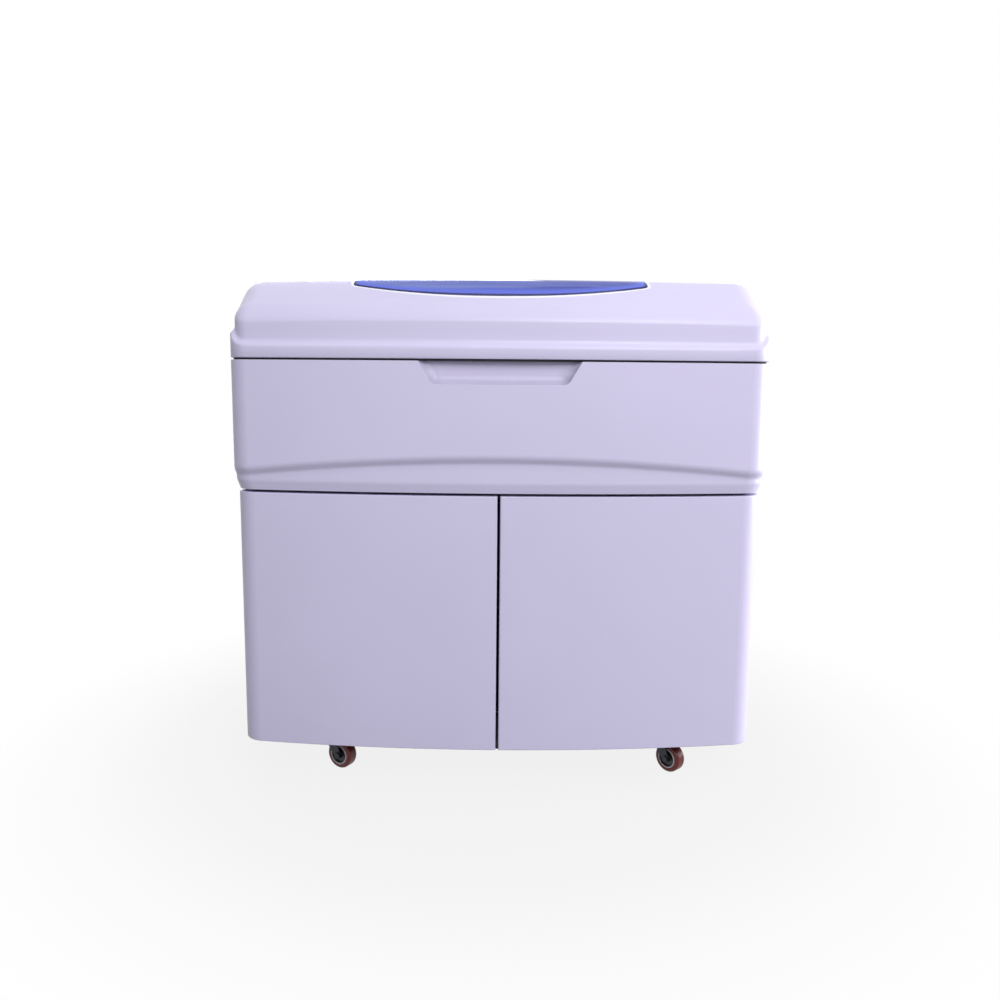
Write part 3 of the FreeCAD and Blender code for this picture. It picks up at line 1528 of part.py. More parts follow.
def tank(x):
    """Blow-moulded tank with a filling neck, a screw cap and a grip hollow."""
    z0 = frame_bottom + tube_size + pan_sheet
    x0 = x - tank_length / 2
    y0 = tank_y - tank_depth / 2
    body = rounded_block(x0, x0 + tank_length, y0, y0 + tank_depth, z0, z0 + tank_height, tank_round * 2)
    rim = [edge for edge in body.Edges if edge.CenterOfMass.z > z0 + tank_height - 0.1]
    body = body.makeFillet(tank_round, rim)
    hollow = rounded_block(x0 + tank_wall, x0 + tank_length - tank_wall, y0 + tank_wall, y0 + tank_depth - tank_wall,
                           z0 + tank_wall, z0 + tank_height - tank_round, tank_round * 2 - tank_wall)
    grip = block(x - tank_round, x + tank_round * 3, y0, y0 + tank_round, z0 + tank_height / 2, z0 + tank_height * 2 / 3)
    grip_wall = block(x - tank_round - tank_wall, x + tank_round * 3 + tank_wall, y0 + 1, y0 + tank_round + tank_wall,
                      z0 + tank_height / 2 - tank_wall, z0 + tank_height * 2 / 3 + tank_wall)
    cap_x = x0 + tank_length / 4
    top = z0 + tank_height
    cap = rod(cap_x, tank_y, top - 1, top + tank_cap_height, tank_cap_radius)
    crown = [edge for edge in cap.Edges if edge.CenterOfMass.z > top + tank_cap_height - 0.1]
    cap = cap.makeFillet(3.0, crown)
    return merged([body.cut(hollow), grip_wall, cap]).cut(grip)


def pump():
    """Pump: motor body and head on a foot plate, lying along the machine's width."""
    z0 = frame_bottom + tube_size + pan_sheet
    centre_z = z0 + pump_foot + pump_lift + pump_radius
    steps = [(-pump_length / 2, 0), (-pump_length / 2, -pump_radius), (pump_length / 2, -pump_radius),
             (pump_length / 2, -pump_head_radius), (pump_length / 2 + pump_head_length, -pump_head_radius),
             (pump_length / 2 + pump_head_length, 0)]
    points = [Vector(x, pump_y + y, centre_z) for x, y in steps]
    face = Part.Face(Part.makePolygon(points + points[:1]))
    motor = face.revolve(Vector(0, pump_y, centre_z), TO_RIGHT, FULL_TURN)
    foot = block(-pump_length / 2, pump_length / 2, pump_y - pump_radius, pump_y + pump_radius, z0, z0 + pump_foot)
    saddle = block(-pump_length / 3, pump_length / 3, pump_y - pump_radius / 2, pump_y + pump_radius / 2,
                   z0, centre_z - pump_radius / 2)
    spout = Part.makeCylinder(pump_foot, pump_radius, Vector(pump_length / 2 + pump_head_length / 2, pump_y, centre_z), UP)
    return merged([motor, foot, saddle, spout])


def vented_box(x, length, depth, height):
    """Sheet-metal box on the shelf with air slots in its front."""
    z0 = shelf_rail_top + pan_sheet
    x0 = x - length / 2
    y0 = box_y - depth / 2
    outer = block(x0, x0 + length, y0, y0 + depth, z0, z0 + height)
    inner = block(x0 + box_wall, x0 + length - box_wall, y0 + box_wall, y0 + depth - box_wall,
                  z0 + box_wall, z0 + height - box_wall)
    slots = []
    for step in range(box_slots):
        slot_x0 = x0 + length * (step + 1) / (box_slots + 1) - box_slot_width / 2
        slots.append(block(slot_x0, slot_x0 + box_slot_width, y0, y0 + box_wall, z0 + height / 4, z0 + height * 3 / 4))
    return outer.cut(inner).cut(Part.makeCompound(slots))


# Casters, built with the swivel axis upright at the origin and the wheel towards +X

def placed(solid, x, y, turn):
    """Caster piece turned to its place under the frame."""
    solid.rotate(Vector(0, 0, 0), UP, -turn)
    solid.translate(Vector(x, y, 0))
    return solid


def caster_plate():
    """Top plate with its race and king pin."""
    z1 = frame_bottom
    plate = rounded_block(-caster_plate_half, caster_plate_half, -caster_plate_half * 0.8, caster_plate_half * 0.8,
                          z1 - caster_plate_thickness, z1, 6.0)
    race = rod(0, 0, crown_top + face_gap, z1 - caster_plate_thickness, race_radius)
    pin = rod(0, 0, crown_top - crown_thickness - face_gap - pin_head_height, z1, king_pin_radius)
    head_top = crown_top - crown_thickness - face_gap
    head = rod(0, 0, head_top - pin_head_height, head_top, pin_head_radius)
    return merged([plate, race, pin, head])


def caster_fork():
    """Pressed fork: crown, two legs and the riveted axle with its caps."""
    leg_in = wheel_width / 2 + fork_side_gap
    leg_out = leg_in + fork_leg
    crown = rod(0, 0, crown_top - crown_thickness, crown_top, race_radius)
    axle_start = Vector(caster_trail, -leg_out, wheel_radius)
    pieces = [crown]
    low = crown_top - crown_thickness
    tilt = Vector(caster_trail, 0, wheel_radius)
    for y0 in (-leg_out, leg_in):
        corners = [Vector(-race_radius * 0.6, y0, low + 1), Vector(race_radius * 0.75, y0, low + 1),
                   tilt + Vector(axle_boss_radius, y0, axle_boss_radius / 2),
                   tilt + Vector(-axle_boss_radius, y0, -axle_boss_radius / 4)]
        leg = Part.Face(Part.makePolygon(corners + corners[:1])).extrude(TO_REAR * fork_leg)
        boss = Part.makeCylinder(axle_boss_radius, fork_leg, tilt + Vector(0, y0, 0), TO_REAR)
        pieces += [leg, boss]
    pieces.append(Part.makeCylinder(axle_radius, 2 * leg_out, axle_start, TO_REAR))
    for y0 in (-leg_out - axle_cap_height, leg_out):
        pieces.append(Part.makeCylinder(axle_cap_radius, axle_cap_height, tilt + Vector(0, y0, 0), TO_REAR))
    fork = merged(pieces)
    return fork.cut(rod(0, 0, low, crown_top, king_pin_radius + running_gap))


def caster_hub():
    """Wheel centre with a recessed web on both faces."""
    start = Vector(caster_trail, -wheel_width / 2, wheel_radius)
    hub = Part.makeCylinder(hub_radius, wheel_width, start, TO_REAR)
    for y0 in (-wheel_width / 2, wheel_width / 2 - 4):
        at = Vector(caster_trail, y0, wheel_radius)
        groove = Part.makeCylinder(hub_radius - 4, 4, at, TO_REAR).cut(Part.makeCylinder(axle_boss_radius, 4, at, TO_REAR))
        hub = hub.cut(groove)
    return hub.cut(Part.makeCylinder(axle_radius + running_gap, wheel_width, start, TO_REAR))


def caster_tyre():
    """Soft tread with rounded shoulders."""
    start = Vector(caster_trail, -wheel_width / 2, wheel_radius)
    tyre = Part.makeCylinder(wheel_radius, wheel_width, start, TO_REAR)
    shoulders = [edge for edge in tyre.Edges if len(edge.Vertexes) == 1]
    tyre = tyre.makeFillet(tyre_round, shoulders)
    return tyre.cut(Part.makeCylinder(hub_radius, wheel_width, start, TO_REAR))


def caster_places():
    """Name, place and turn of each caster."""
    places = []
    for name, turn in caster_turns.items():
        x = -caster_x if name.endswith("left") else caster_x
        y = caster_front_y if name.startswith("front") else caster_rear_y
        places.append((name, x, y, turn))
    return places


def write_casing():
    """Lid, covers, doors and panels."""
    save("lid_shell", lid_shell())
    save("lid_window", lid_window())
    sides = (-lid_hinge_spacing, lid_hinge_spacing)
    save("lid_hinge_arms", Part.makeCompound([lid_hinge(x, True) for x in sides]))
    save("lid_hinge_brackets", Part.makeCompound([lid_hinge(x, False) for x in sides]))
    save("upper_cover", upper_cover())
    door = right_door()
    save("right_door", door)
    save("left_door", mirrored(door))
    brackets = door_brackets()
    save("door_hinge_brackets", Part.makeCompound(brackets + [mirrored(one) for one in brackets]))
    panel = side_panel()
    save("right_side_panel", panel)
    save("left_side_panel", mirrored(panel))
    save("rear_panel", rear_panel())


def write_frame():
    """Frame, trays and what stands in the lower bay."""
    save("main_frame", main_frame())
    save("floor_pan", tray(frame_bottom + tube_size))
    save("shelf", tray(shelf_rail_top))
    save("water_tank", tank(-tank_x))
    save("waste_tank", tank(tank_x))
    save("pump", pump())
    save("power_supply", vented_box(supply_x, supply_length, supply_depth, supply_height))
    save("control_box", vented_box(control_x, control_length, control_depth, control_height))


def write_rear_fittings():
    """Fan, inlet, switch and ports."""
    save("fan_frame", fan_frame())
    save("fan_guard", fan_guard())
    save("fan_rotor", fan_rotor())
    save("mains_inlet", Part.makeCompound([mains_inlet(), switch_bezel()]))
    save("rocker_switch", rocker_switch())
    save("fluid_ports", fluid_ports())


def write_worktop():
    """Everything under the lid."""
    save("worktop", worktop())
    save("reaction_bath", reaction_bath())
    save("reaction_disk", reaction_disk())
    save("cuvettes", cuvettes())
    save("reagent_tub", tub(reagent_x, reagent_y, tub_radius, tub_depth, tub_rise, spindle_radius + running_gap))
    save("reagent_rotor", reagent_rotor())
    save("reagent_bottles", reagent_bottles())
    save("reagent_cover", reagent_cover())
    save("sample_tub", tub(sample_x, sample_y, sample_tub_radius, sample_tub_depth, flange_thickness,
                           spindle_radius + running_gap))
    save("sample_rotor", sample_rotor())
    save("sample_tubes", sample_tubes())
    save("arm_columns", arm_columns())
    for name, side in (("sample", -1), ("reagent", 1)):
        save(name + "_carriage", carriage(side))
        save(name + "_arm", arm(side))
        save(name + "_needle", needle(side))
    save("wash_wells", wash_wells())
    save("wash_column", wash_column())
    save("wash_head", wash_head())
    save("photometer", photometer())


def write_casters():
    """Four swivel casters."""
    plates = []
    for name, x, y, turn in caster_places():
        plates.append(placed(caster_plate(), x, y, 0))
        save(name + "_caster_fork", placed(caster_fork(), x, y, turn))
        save(name + "_caster_hub", placed(caster_hub(), x, y, turn))
        save(name + "_caster_tyre", placed(caster_tyre(), x, y, turn))
    save("caster_plates", Part.makeCompound(plates))


os.makedirs("parts", exist_ok=True)
write_casing()
write_frame()
write_rear_fittings()
write_worktop()
write_casters()
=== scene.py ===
import json
import math

import bpy
import numpy as np
from mathutils import Matrix, Vector


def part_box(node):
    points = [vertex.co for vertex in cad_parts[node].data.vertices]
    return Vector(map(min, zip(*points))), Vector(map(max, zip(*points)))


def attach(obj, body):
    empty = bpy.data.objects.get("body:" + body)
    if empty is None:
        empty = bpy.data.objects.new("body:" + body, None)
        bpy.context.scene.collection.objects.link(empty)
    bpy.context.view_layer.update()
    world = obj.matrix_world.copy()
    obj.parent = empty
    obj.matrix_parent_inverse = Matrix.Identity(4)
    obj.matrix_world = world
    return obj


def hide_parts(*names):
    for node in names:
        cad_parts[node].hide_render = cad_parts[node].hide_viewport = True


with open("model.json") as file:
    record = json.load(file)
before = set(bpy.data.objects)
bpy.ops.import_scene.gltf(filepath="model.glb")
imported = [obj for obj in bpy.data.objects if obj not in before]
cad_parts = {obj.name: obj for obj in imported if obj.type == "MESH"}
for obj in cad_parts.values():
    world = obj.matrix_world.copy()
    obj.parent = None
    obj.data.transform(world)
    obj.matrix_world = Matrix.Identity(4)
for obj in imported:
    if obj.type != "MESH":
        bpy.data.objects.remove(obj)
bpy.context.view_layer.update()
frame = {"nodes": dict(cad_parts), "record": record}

# Chemistry analyzer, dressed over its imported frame. Metres, +Z up, front towards -Y.

SPAN_SOCKETS = ("From Min", "From Max", "To Min", "To Max")


def from_srgb(red, green, blue):
    """Linear colour of an 8-bit screen colour: the standard curve, with full alpha."""
    shares = np.array([red, green, blue]) / 255.0
    low = shares / 12.92
    high = ((shares + 0.055) / 1.055) ** 2.4
    return tuple(np.where(shares <= 0.04045, low, high)) + (1.0,)


def shade(colour, factor):
    """A colour made lighter or darker by a factor, with its alpha kept."""
    return tuple(min(1.0, part * factor) for part in colour[:3]) + (1.0,)


def set_span(made, from_low, from_high, low, high):
    """The four ends of a node that carries one span of numbers onto another."""
    for socket, number in zip(SPAN_SOCKETS, (from_low, from_high, low, high)):
        made.inputs[socket].default_value = number


# Finishes

class Finish:
    """One surface finish: a principled shader with object coordinates ready for its patterns."""

    def __init__(self, name):
        self.material = bpy.data.materials.new(name)
        self.material.use_nodes = True
        self.tree = self.material.node_tree
        self.shader = self.tree.nodes["Principled BSDF"]
        self.place = self.tree.nodes.new("ShaderNodeTexCoord").outputs["Object"]
        self.edge = None

    def node(self, kind, **settings):
        """A shader node. Each setting is its own where it has one of that name, or else a socket's value."""
        made = self.tree.nodes.new("ShaderNode" + kind)
        for key, value in settings.items():
            if hasattr(made, key):
                setattr(made, key, value)
            else:
                made.inputs[key.replace("_", " ").title()].default_value = value
        return made

    def link(self, source, target):
        self.tree.links.new(source, target)

    def stretched(self, x, y, z):
        """Object coordinates scaled along each axis, for grain that runs one way."""
        mapping = self.node("Mapping")
        mapping.inputs["Scale"].default_value = (x, y, z)
        self.link(self.place, mapping.inputs["Vector"])
        return mapping.outputs["Vector"]

    def noise(self, scale, detail=3.0, place=None, roughness=0.55):
        made = self.node("TexNoise", scale=scale, detail=detail, roughness=roughness)
        self.link(place or self.place, made.inputs["Vector"])
        return made.outputs["Fac"]

    def stored(self, name):
        """A value that a piece's own points carry."""
        return self.node("Attribute", attribute_name=name).outputs["Fac"]

    def spread(self, value, low, high, from_low=0.3, from_high=0.7):
        """A pattern's value carried onto another span of numbers."""
        made = self.node("MapRange")
        set_span(made, from_low, from_high, low, high)
        self.link(value, made.inputs["Value"])
        return made.outputs["Result"]

    def blend(self, share, first, second):
        """Two colours mixed by a pattern's value. A colour may be a socket or a plain colour."""
        made = self.node("Mix", data_type="RGBA")
        self.link(share, made.inputs["Factor"])
        for socket, colour in ((made.inputs[6], first), (made.inputs[7], second)):
            if hasattr(colour, "is_output"):
                self.link(colour, socket)
            else:
                socket.default_value = colour
        return made.outputs[2]

    def soften_edges(self, radius):
        """Sharp edges catch the light as if they were rounded by the radius."""
        made = self.node("Bevel", samples=4)
        made.inputs["Radius"].default_value = radius
        self.edge = made.outputs["Normal"]

    def height(self):
        """How high a point stands above the floor."""
        made = self.node("SeparateXYZ")
        self.link(self.place, made.inputs["Vector"])
        return made.outputs["Z"]

    def colour(self, socket):
        self.link(socket, self.shader.inputs["Base Color"])

    def rough(self, socket):
        self.link(socket, self.shader.inputs["Roughness"])

    def raise_grain(self, height, depth, under=None):
        """A fine relief from a height pattern, laid over another relief if one is given."""
        bump = self.node("Bump")
        bump.inputs["Strength"].default_value = 1.0
        bump.inputs["Distance"].default_value = depth
        self.link(height, bump.inputs["Height"])
        under = under or self.edge
        if under is not None:
            self.link(under, bump.inputs["Normal"])
        self.link(bump.outputs["Normal"], self.shader.inputs["Normal"])
        return bump.outputs["Normal"]

    def constant(self, **values):
        for key, value in values.items():
            self.shader.inputs[key.replace("_", " ")].default_value = value


SPECK_SHARE, SPECK_TONE = 0.06, 0.8
# Heights and tone of the painted shade that darkens panels towards the floor.
LOW_SHADE_BOTTOM, LOW_SHADE_TOP, LOW_SHADE_TONE = 0.06, 0.70, 0.62
# Reach, span and tone of the painted shade in hollows and creases.
HOLLOW_SHADE_REACH, HOLLOW_SHADE_SHUT, HOLLOW_SHADE_OPEN, HOLLOW_SHADE_TONE = 0.022, 0.6, 0.97, 0.25
# Reach and share of the painted highlight along the window.
WINDOW_HIGHLIGHT_EDGE, WINDOW_HIGHLIGHT_END, WINDOW_HIGHLIGHT_SHARE = 0.0035, 0.0075, 0.9


def coated(name, colour, patches=2.5, change=0.03, rough=(0.38, 0.48), grain=700.0, depth=0.00006,
           wave=None, edge=0.0008, dusty=0.0, grime=0.0, lip=False, **constants):
    """Paint or moulded plastic: soft patches of tone, a fine grain in the relief and an uneven gloss.

    It may also carry painted shade that darkens it towards the floor, painted shade in its hollows and
    creases, and a painted highlight that makes it paler along the window.
    """
    finish = Finish(name)
    finish.soften_edges(edge)
    patchy = finish.spread(finish.noise(patches, 4.0), 0.0, 1.0)
    fine = finish.noise(grain, 2.0)
    tone = finish.blend(patchy, shade(colour, 1.0 - change), shade(colour, 1.0 + change))
    tone = finish.blend(finish.spread(fine, 0.0, SPECK_SHARE), tone, shade(colour, SPECK_TONE))
    # Painted shade: the colour darkens towards the floor, where less light falls.
    if dusty:
        low = finish.spread(finish.height(), dusty, 0.0, LOW_SHADE_BOTTOM, LOW_SHADE_TOP)
        tone = finish.blend(low, tone, shade(colour, LOW_SHADE_TONE))
    # Painted shade: ambient occlusion darkens the colour in creases and hollows where shade falls, such as
    # the groove under the arched step.
    if grime:
        hollow = finish.node("AmbientOcclusion", samples=6, only_local=True, distance=HOLLOW_SHADE_REACH)
        crease_shade = finish.spread(hollow.outputs["AO"], grime, 0.0, HOLLOW_SHADE_SHUT, HOLLOW_SHADE_OPEN)
        tone = finish.blend(crease_shade, tone, shade(colour, HOLLOW_SHADE_TONE))
    # Painted highlight: the colour turns nearly white along the window, where the raised lip catches the
    # light.
    if lip:
        near = finish.spread(finish.stored("from_window"), WINDOW_HIGHLIGHT_SHARE, 0.0, WINDOW_HIGHLIGHT_EDGE, WINDOW_HIGHLIGHT_END)
        tone = finish.blend(near, tone, from_srgb(250, 249, 255))
    finish.colour(tone)
    finish.rough(finish.spread(finish.noise(patches * 9.0, 5.0), *rough))
    under = None
    if wave:
        wave_scale, wave_depth = wave
        under = finish.raise_grain(finish.noise(wave_scale, 1.0), wave_depth)
    finish.raise_grain(fine, depth, under=under)
    finish.constant(**constants)
    return finish.material


def metal(name, colour, rough=(0.24, 0.32), run=(1.0, 1.0, 1.0), grain=260.0, depth=0.000006, tarnish=0.12):
    """Bare or plated metal: a fine drawn grain along one axis, with darker patches."""
    finish = Finish(name)
    finish.soften_edges(0.0004)
    drawn = finish.noise(grain, 3.0, finish.stretched(*run))
    patches = finish.noise(14.0, 4.0)
    finish.colour(finish.blend(finish.spread(patches, 0.0, 1.0), shade(colour, 1.0 - tarnish), colour))
    finish.rough(finish.spread(drawn, *rough))
    finish.raise_grain(drawn, depth)
    finish.constant(Metallic=1.0)
    return finish.material


def window_acrylic(name):
    """Blue see-through acrylic: a dark line at the rim, a bright band inside it as a painted highlight, then
    long streaks.
    """
    finish = Finish(name)
    distance = finish.stored("from_rim")
    streaks = finish.spread(finish.noise(5.0, 5.0, finish.stretched(0.35, 5.0, 9.0)), 0.0, 1.0, 0.42, 0.62)
    pane = finish.blend(streaks, from_srgb(52, 74, 196), from_srgb(122, 140, 226))
    # Painted highlight: the bright band inside the rim stands in for light at the pane's edge.
    band = finish.blend(finish.spread(distance, 0.0, 1.0, 0.014, 0.030), from_srgb(96, 122, 255), pane)
    line = finish.spread(distance, 0.0, 1.0, 0.0040, 0.0070)
    finish.colour(finish.blend(line, from_srgb(14, 24, 110), band))
    finish.rough(finish.spread(finish.noise(60.0, 3.0), 0.04, 0.09))
    finish.constant(Transmission_Weight=0.4, IOR=1.49)
    return finish.material


casing_colour = from_srgb(212, 206, 235)
door_colour = from_srgb(198, 191, 226)
moulding = dict(colour=casing_colour, change=0.02, rough=(0.34, 0.44), grain=900.0, wave=(7.0, 0.0004),
                edge=0.0015)

coats = {
    # The casing carries painted shade in its hollows and creases.
    "casing_plastic": dict(moulding, grime=0.8),
    # The lid carries a painted highlight along the window.
    "lid_plastic": dict(moulding, lip=True),
    # The panels darken towards the floor by painted shade.
    "panel_paint": dict(colour=door_colour, change=0.02, rough=(0.4, 0.5), grain=520.0, depth=0.00008,
                        wave=(5.0, 0.0004), edge=0.0012, dusty=0.34),
    # The frame's dark grey is partly its paint and partly painted shade that keeps the inside seen through
    # the gaps dark.
    "frame_paint": dict(colour=from_srgb(74, 76, 82), rough=(0.45, 0.55), grain=420.0),
    "worktop_paint": dict(colour=from_srgb(222, 224, 228), rough=(0.3, 0.42), grain=620.0),
    "wheel_centre": dict(colour=from_srgb(26, 27, 31), rough=(0.3, 0.42), grain=1400.0),
    "red_tread": dict(colour=from_srgb(96, 8, 9), patches=40.0, change=0.14, rough=(0.28, 0.5),
                      grain=1600.0, edge=0.0012),
    "dark_disk": dict(colour=from_srgb(40, 44, 50), rough=(0.3, 0.42)),
    "clear_plastic": dict(colour=from_srgb(232, 240, 244), rough=(0.06, 0.12), edge=0.0002,
                          Transmission_Weight=0.85, IOR=1.45),
    "store_plastic": dict(colour=from_srgb(216, 220, 224)),
    "store_cover": dict(colour=from_srgb(110, 144, 190), rough=(0.12, 0.2)),
    "rotor_plastic": dict(colour=from_srgb(58, 84, 132)),
    "bottle_plastic": dict(colour=from_srgb(232, 230, 220), rough=(0.25, 0.35), Subsurface_Weight=0.15,
                           Subsurface_Scale=0.004),
    "column_paint": dict(colour=from_srgb(205, 207, 212)),
    "arm_cover": dict(colour=from_srgb(230, 230, 234)),
    "instrument_black": dict(colour=from_srgb(34, 36, 40)),
    "tank_plastic": dict(colour=from_srgb(226, 228, 226), rough=(0.3, 0.4), Subsurface_Weight=0.2,
                         Subsurface_Scale=0.01),
    "pump_paint": dict(colour=from_srgb(60, 80, 110)),
    "switch_plastic": dict(colour=from_srgb(120, 18, 18), rough=(0.2, 0.3)),
    "seal_rubber": dict(colour=from_srgb(20, 20, 24), rough=(0.6, 0.75), grain=1100.0),
    "rim_paint": dict(colour=from_srgb(196, 190, 196), patches=60.0, change=0.08, rough=(0.3, 0.45),
                      grain=1500.0),
    "serum": dict(colour=from_srgb(214, 150, 58), patches=30.0, change=0.2, rough=(0.05, 0.1),
                  Transmission_Weight=0.5),
    "reagent": dict(colour=from_srgb(120, 170, 214), patches=30.0, change=0.1, rough=(0.05, 0.1),
                    Transmission_Weight=0.5),
    "collar_print": dict(colour=from_srgb(40, 96, 176), patches=25.0, change=0.08, rough=(0.4, 0.5)),
}
metals = {
    "bright_steel": dict(colour=from_srgb(205, 206, 210)),
    "caster_steel": dict(colour=from_srgb(62, 63, 68), rough=(0.3, 0.45)),
    "machined_aluminium": dict(colour=from_srgb(200, 202, 205), rough=(0.28, 0.4)),
    "box_metal": dict(colour=from_srgb(168, 170, 174), rough=(0.35, 0.5)),
    "screw_steel": dict(colour=from_srgb(190, 191, 196), rough=(0.22, 0.36), run=(1.0, 1.0, 8.0)),
}
finishes = {name: coated(name, **values) for name, values in coats.items()}
finishes.update({name: metal(name, **values) for name, values in metals.items()})
finishes["blue_window"] = window_acrylic("blue_window")

slot_of_node = {entry["node"]: entry["material_slot"] for entry in frame["record"]["subparts"]}
joint_of = {joint["child"]: joint for joint in frame["record"]["behaviour"]["joints"]}

for name, solid in frame["nodes"].items():
    solid.data.materials.clear()
    solid.data.materials.append(finishes[slot_of_node[name]])


# Shapes

def piece(name, points, faces, finish, body, smooth=True):
    """A mesh from whole arrays of points and faces, with its finish, riding on a body."""
    mesh = bpy.data.meshes.new(name)
    mesh.from_pydata(points.tolist(), [], faces)
    mesh.materials.append(finishes[finish])
    mesh.polygons.foreach_set("use_smooth", np.full(len(faces), smooth))
    mesh.update()
    made = bpy.data.objects.new(name, mesh)
    bpy.context.scene.collection.objects.link(made)
    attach(made, body)
    return made


def store(made, name, values):
    """One number on every point of a piece, for its finish to read."""
    kept = made.data.attributes.new(name, "FLOAT", "POINT")
    kept.data.foreach_set("value", np.reshape(values, -1).astype(np.float32))


def ring_faces(rows, columns, start=0):
    """Quads between rows of points that close round on themselves.

    They face outwards for rows that climb anticlockwise.
    """
    row, column = np.meshgrid(np.arange(rows - 1), np.arange(columns), indexing="ij")
    after = (column + 1) % columns
    near, far = row * columns + start, (row + 1) * columns + start
    return np.stack([near + column, near + after, far + after, far + column], -1).reshape(-1, 4).tolist()


def end_faces(rows, columns, start=0):
    """One flat face over the first row of points, turned back, and one over the last."""
    first = [start + step for step in reversed(range(columns))]
    last = [start + (rows - 1) * columns + step for step in range(columns)]
    return [first, last]


def crossways(axis):
    """A direction of length one along an axis, and two across it that stand square to each other."""
    along = np.array(axis, float) / np.linalg.norm(axis)
    helper = np.array([0.0, 0.0, 1.0]) if abs(along[2]) < 0.9 else np.array([1.0, 0.0, 0.0])
    first = np.cross(helper, along)
    first /= np.linalg.norm(first)
    return along, first, np.cross(along, first)


def turned(profile, centre, axis, columns=40, start=0):
    """A profile turned about an axis: radius times cosine and sine across it, and height along it.

    The first and the last ring are closed with one flat face each.
    """
    along, first, second = crossways(axis)
    angle = np.linspace(0.0, 2.0 * math.pi, columns, endpoint=False)
    radius, height = np.array(profile, float).T
    round_it = np.cos(angle)[:, None] * first + np.sin(angle)[:, None] * second
    points = radius[:, None, None] * round_it + height[:, None, None] * along + np.array(centre, float)
    rows = len(profile)
    return points.reshape(-1, 3), ring_faces(rows, columns, start) + end_faces(rows, columns, start)


def turned_ring(profile, centre, axis, columns=64, start=0):
    """A closed profile of radius and height turned about an axis: a ring with a hole through it."""
    points, faces = turned(list(profile) + [profile[0]], centre, axis, columns, start)
    total = len(profile) * columns
    faces = [[(corner - start) % total + start for corner in face] for face in faces[:-2]]
    return points[:total], faces


def slab(low, high, start=0):
    """A small upright box from its two corners."""
    corner = np.array([[x, y, z] for z in (low[2], high[2]) for x, y in
                       ((low[0], low[1]), (high[0], low[1]), (high[0], high[1]), (low[0], high[1]))])
    sides = [[0, 3, 2, 1], [4, 5, 6, 7], [0, 1, 5, 4], [1, 2, 6, 5], [2, 3, 7, 6], [3, 0, 4, 7]]
    return corner, [[start + point for point in side] for side in sides]


def many(shape, calls):
    """Copies of one shape in one mesh: the shape's function is called once for each list of values."""
    points, faces = [], []
    count = 0
    for values in calls:
        some, more = shape(*values, start=count)
        points.append(some)
        faces += more
        count += len(some)
    return np.concatenate(points), faces


def islands(name):
    """Lowest and highest corners of the separate solids in a node.

    Every point takes the lowest label among its neighbours, over and over, until no label changes.
    """
    mesh = frame["nodes"][name].data
    places = np.empty(len(mesh.vertices) * 3, np.float32)
    mesh.vertices.foreach_get("co", places)
    ends = np.empty(len(mesh.edges) * 2, np.int32)
    mesh.edges.foreach_get("vertices", ends)
    spots, same = np.unique(np.round(places.reshape(-1, 3), 5), axis=0, return_inverse=True)
    ends = same.reshape(-1)[ends.reshape(-1, 2)]
    label = np.arange(len(spots))
    while True:
        fresh = label.copy()
        lowest = np.minimum(label[ends[:, 0]], label[ends[:, 1]])
        np.minimum.at(fresh, ends[:, 0], lowest)
        np.minimum.at(fresh, ends[:, 1], lowest)
        fresh = fresh[fresh]
        if np.array_equal(fresh, label):
            break
        label = fresh
    boxes = [(spots[label == one].min(0), spots[label == one].max(0)) for one in np.unique(label)]
    return sorted(boxes, key=lambda box: tuple(np.round(box[0] + box[1], 4).tolist()))


# The body's outline

BODY_HALF_WIDTH = 0.565
BODY_FRONT, BODY_REAR = 0.370, 0.351
BOW = 3.5
FRONT_CORNER, REAR_CORNER = 0.048, 0.018


def plan(inset, bow=BOW, least_corner=0.0, steps=24):
    """The body's outline from above, drawn in: bowed front, round corners, straight sides and rear.

    The bow is a circle of the bow's radius, and each front corner is a circle that touches bow and side. Each
    point keeps its number however far the outline is drawn in, so that outlines can be joined point by point.
    """
    half_width, front, rear = BODY_HALF_WIDTH - inset, BODY_FRONT - inset, BODY_REAR - inset
    radius, rear_radius = (max(corner - inset, least_corner) for corner in (FRONT_CORNER, REAR_CORNER))
    across = half_width - radius
    deep = bow - front - math.sqrt((bow - radius) ** 2 - across ** 2)
    begin = math.atan2(deep - (bow - front), across)
    bow_end = across + radius * math.cos(begin)
    x = np.linspace(-bow_end, bow_end, 4 * steps)[1:-1]
    bowed = np.stack([x, bow - front - np.sqrt(bow ** 2 - x ** 2)], -1)
    turns = np.linspace(begin, 0.0, steps)
    corner = np.stack([across + radius * np.cos(turns), deep + radius * np.sin(turns)], -1)
    quarter = np.linspace(0.0, math.pi / 2.0, steps // 2)
    behind = np.stack([half_width - rear_radius + rear_radius * np.cos(quarter),
                       rear - rear_radius + rear_radius * np.sin(quarter)], -1)
    mirror = np.array([-1.0, 1.0])
    side = np.linspace(corner[-1], behind[0], 3 * steps + 2)[1:-1]
    back = np.linspace(behind[-1], behind[-1] * mirror, 5 * steps + 2)[1:-1]
    right = [corner, side, behind]
    left = [line[::-1] * mirror for line in reversed(right)]
    return np.concatenate([bowed, *right, back, *left])


# The lid

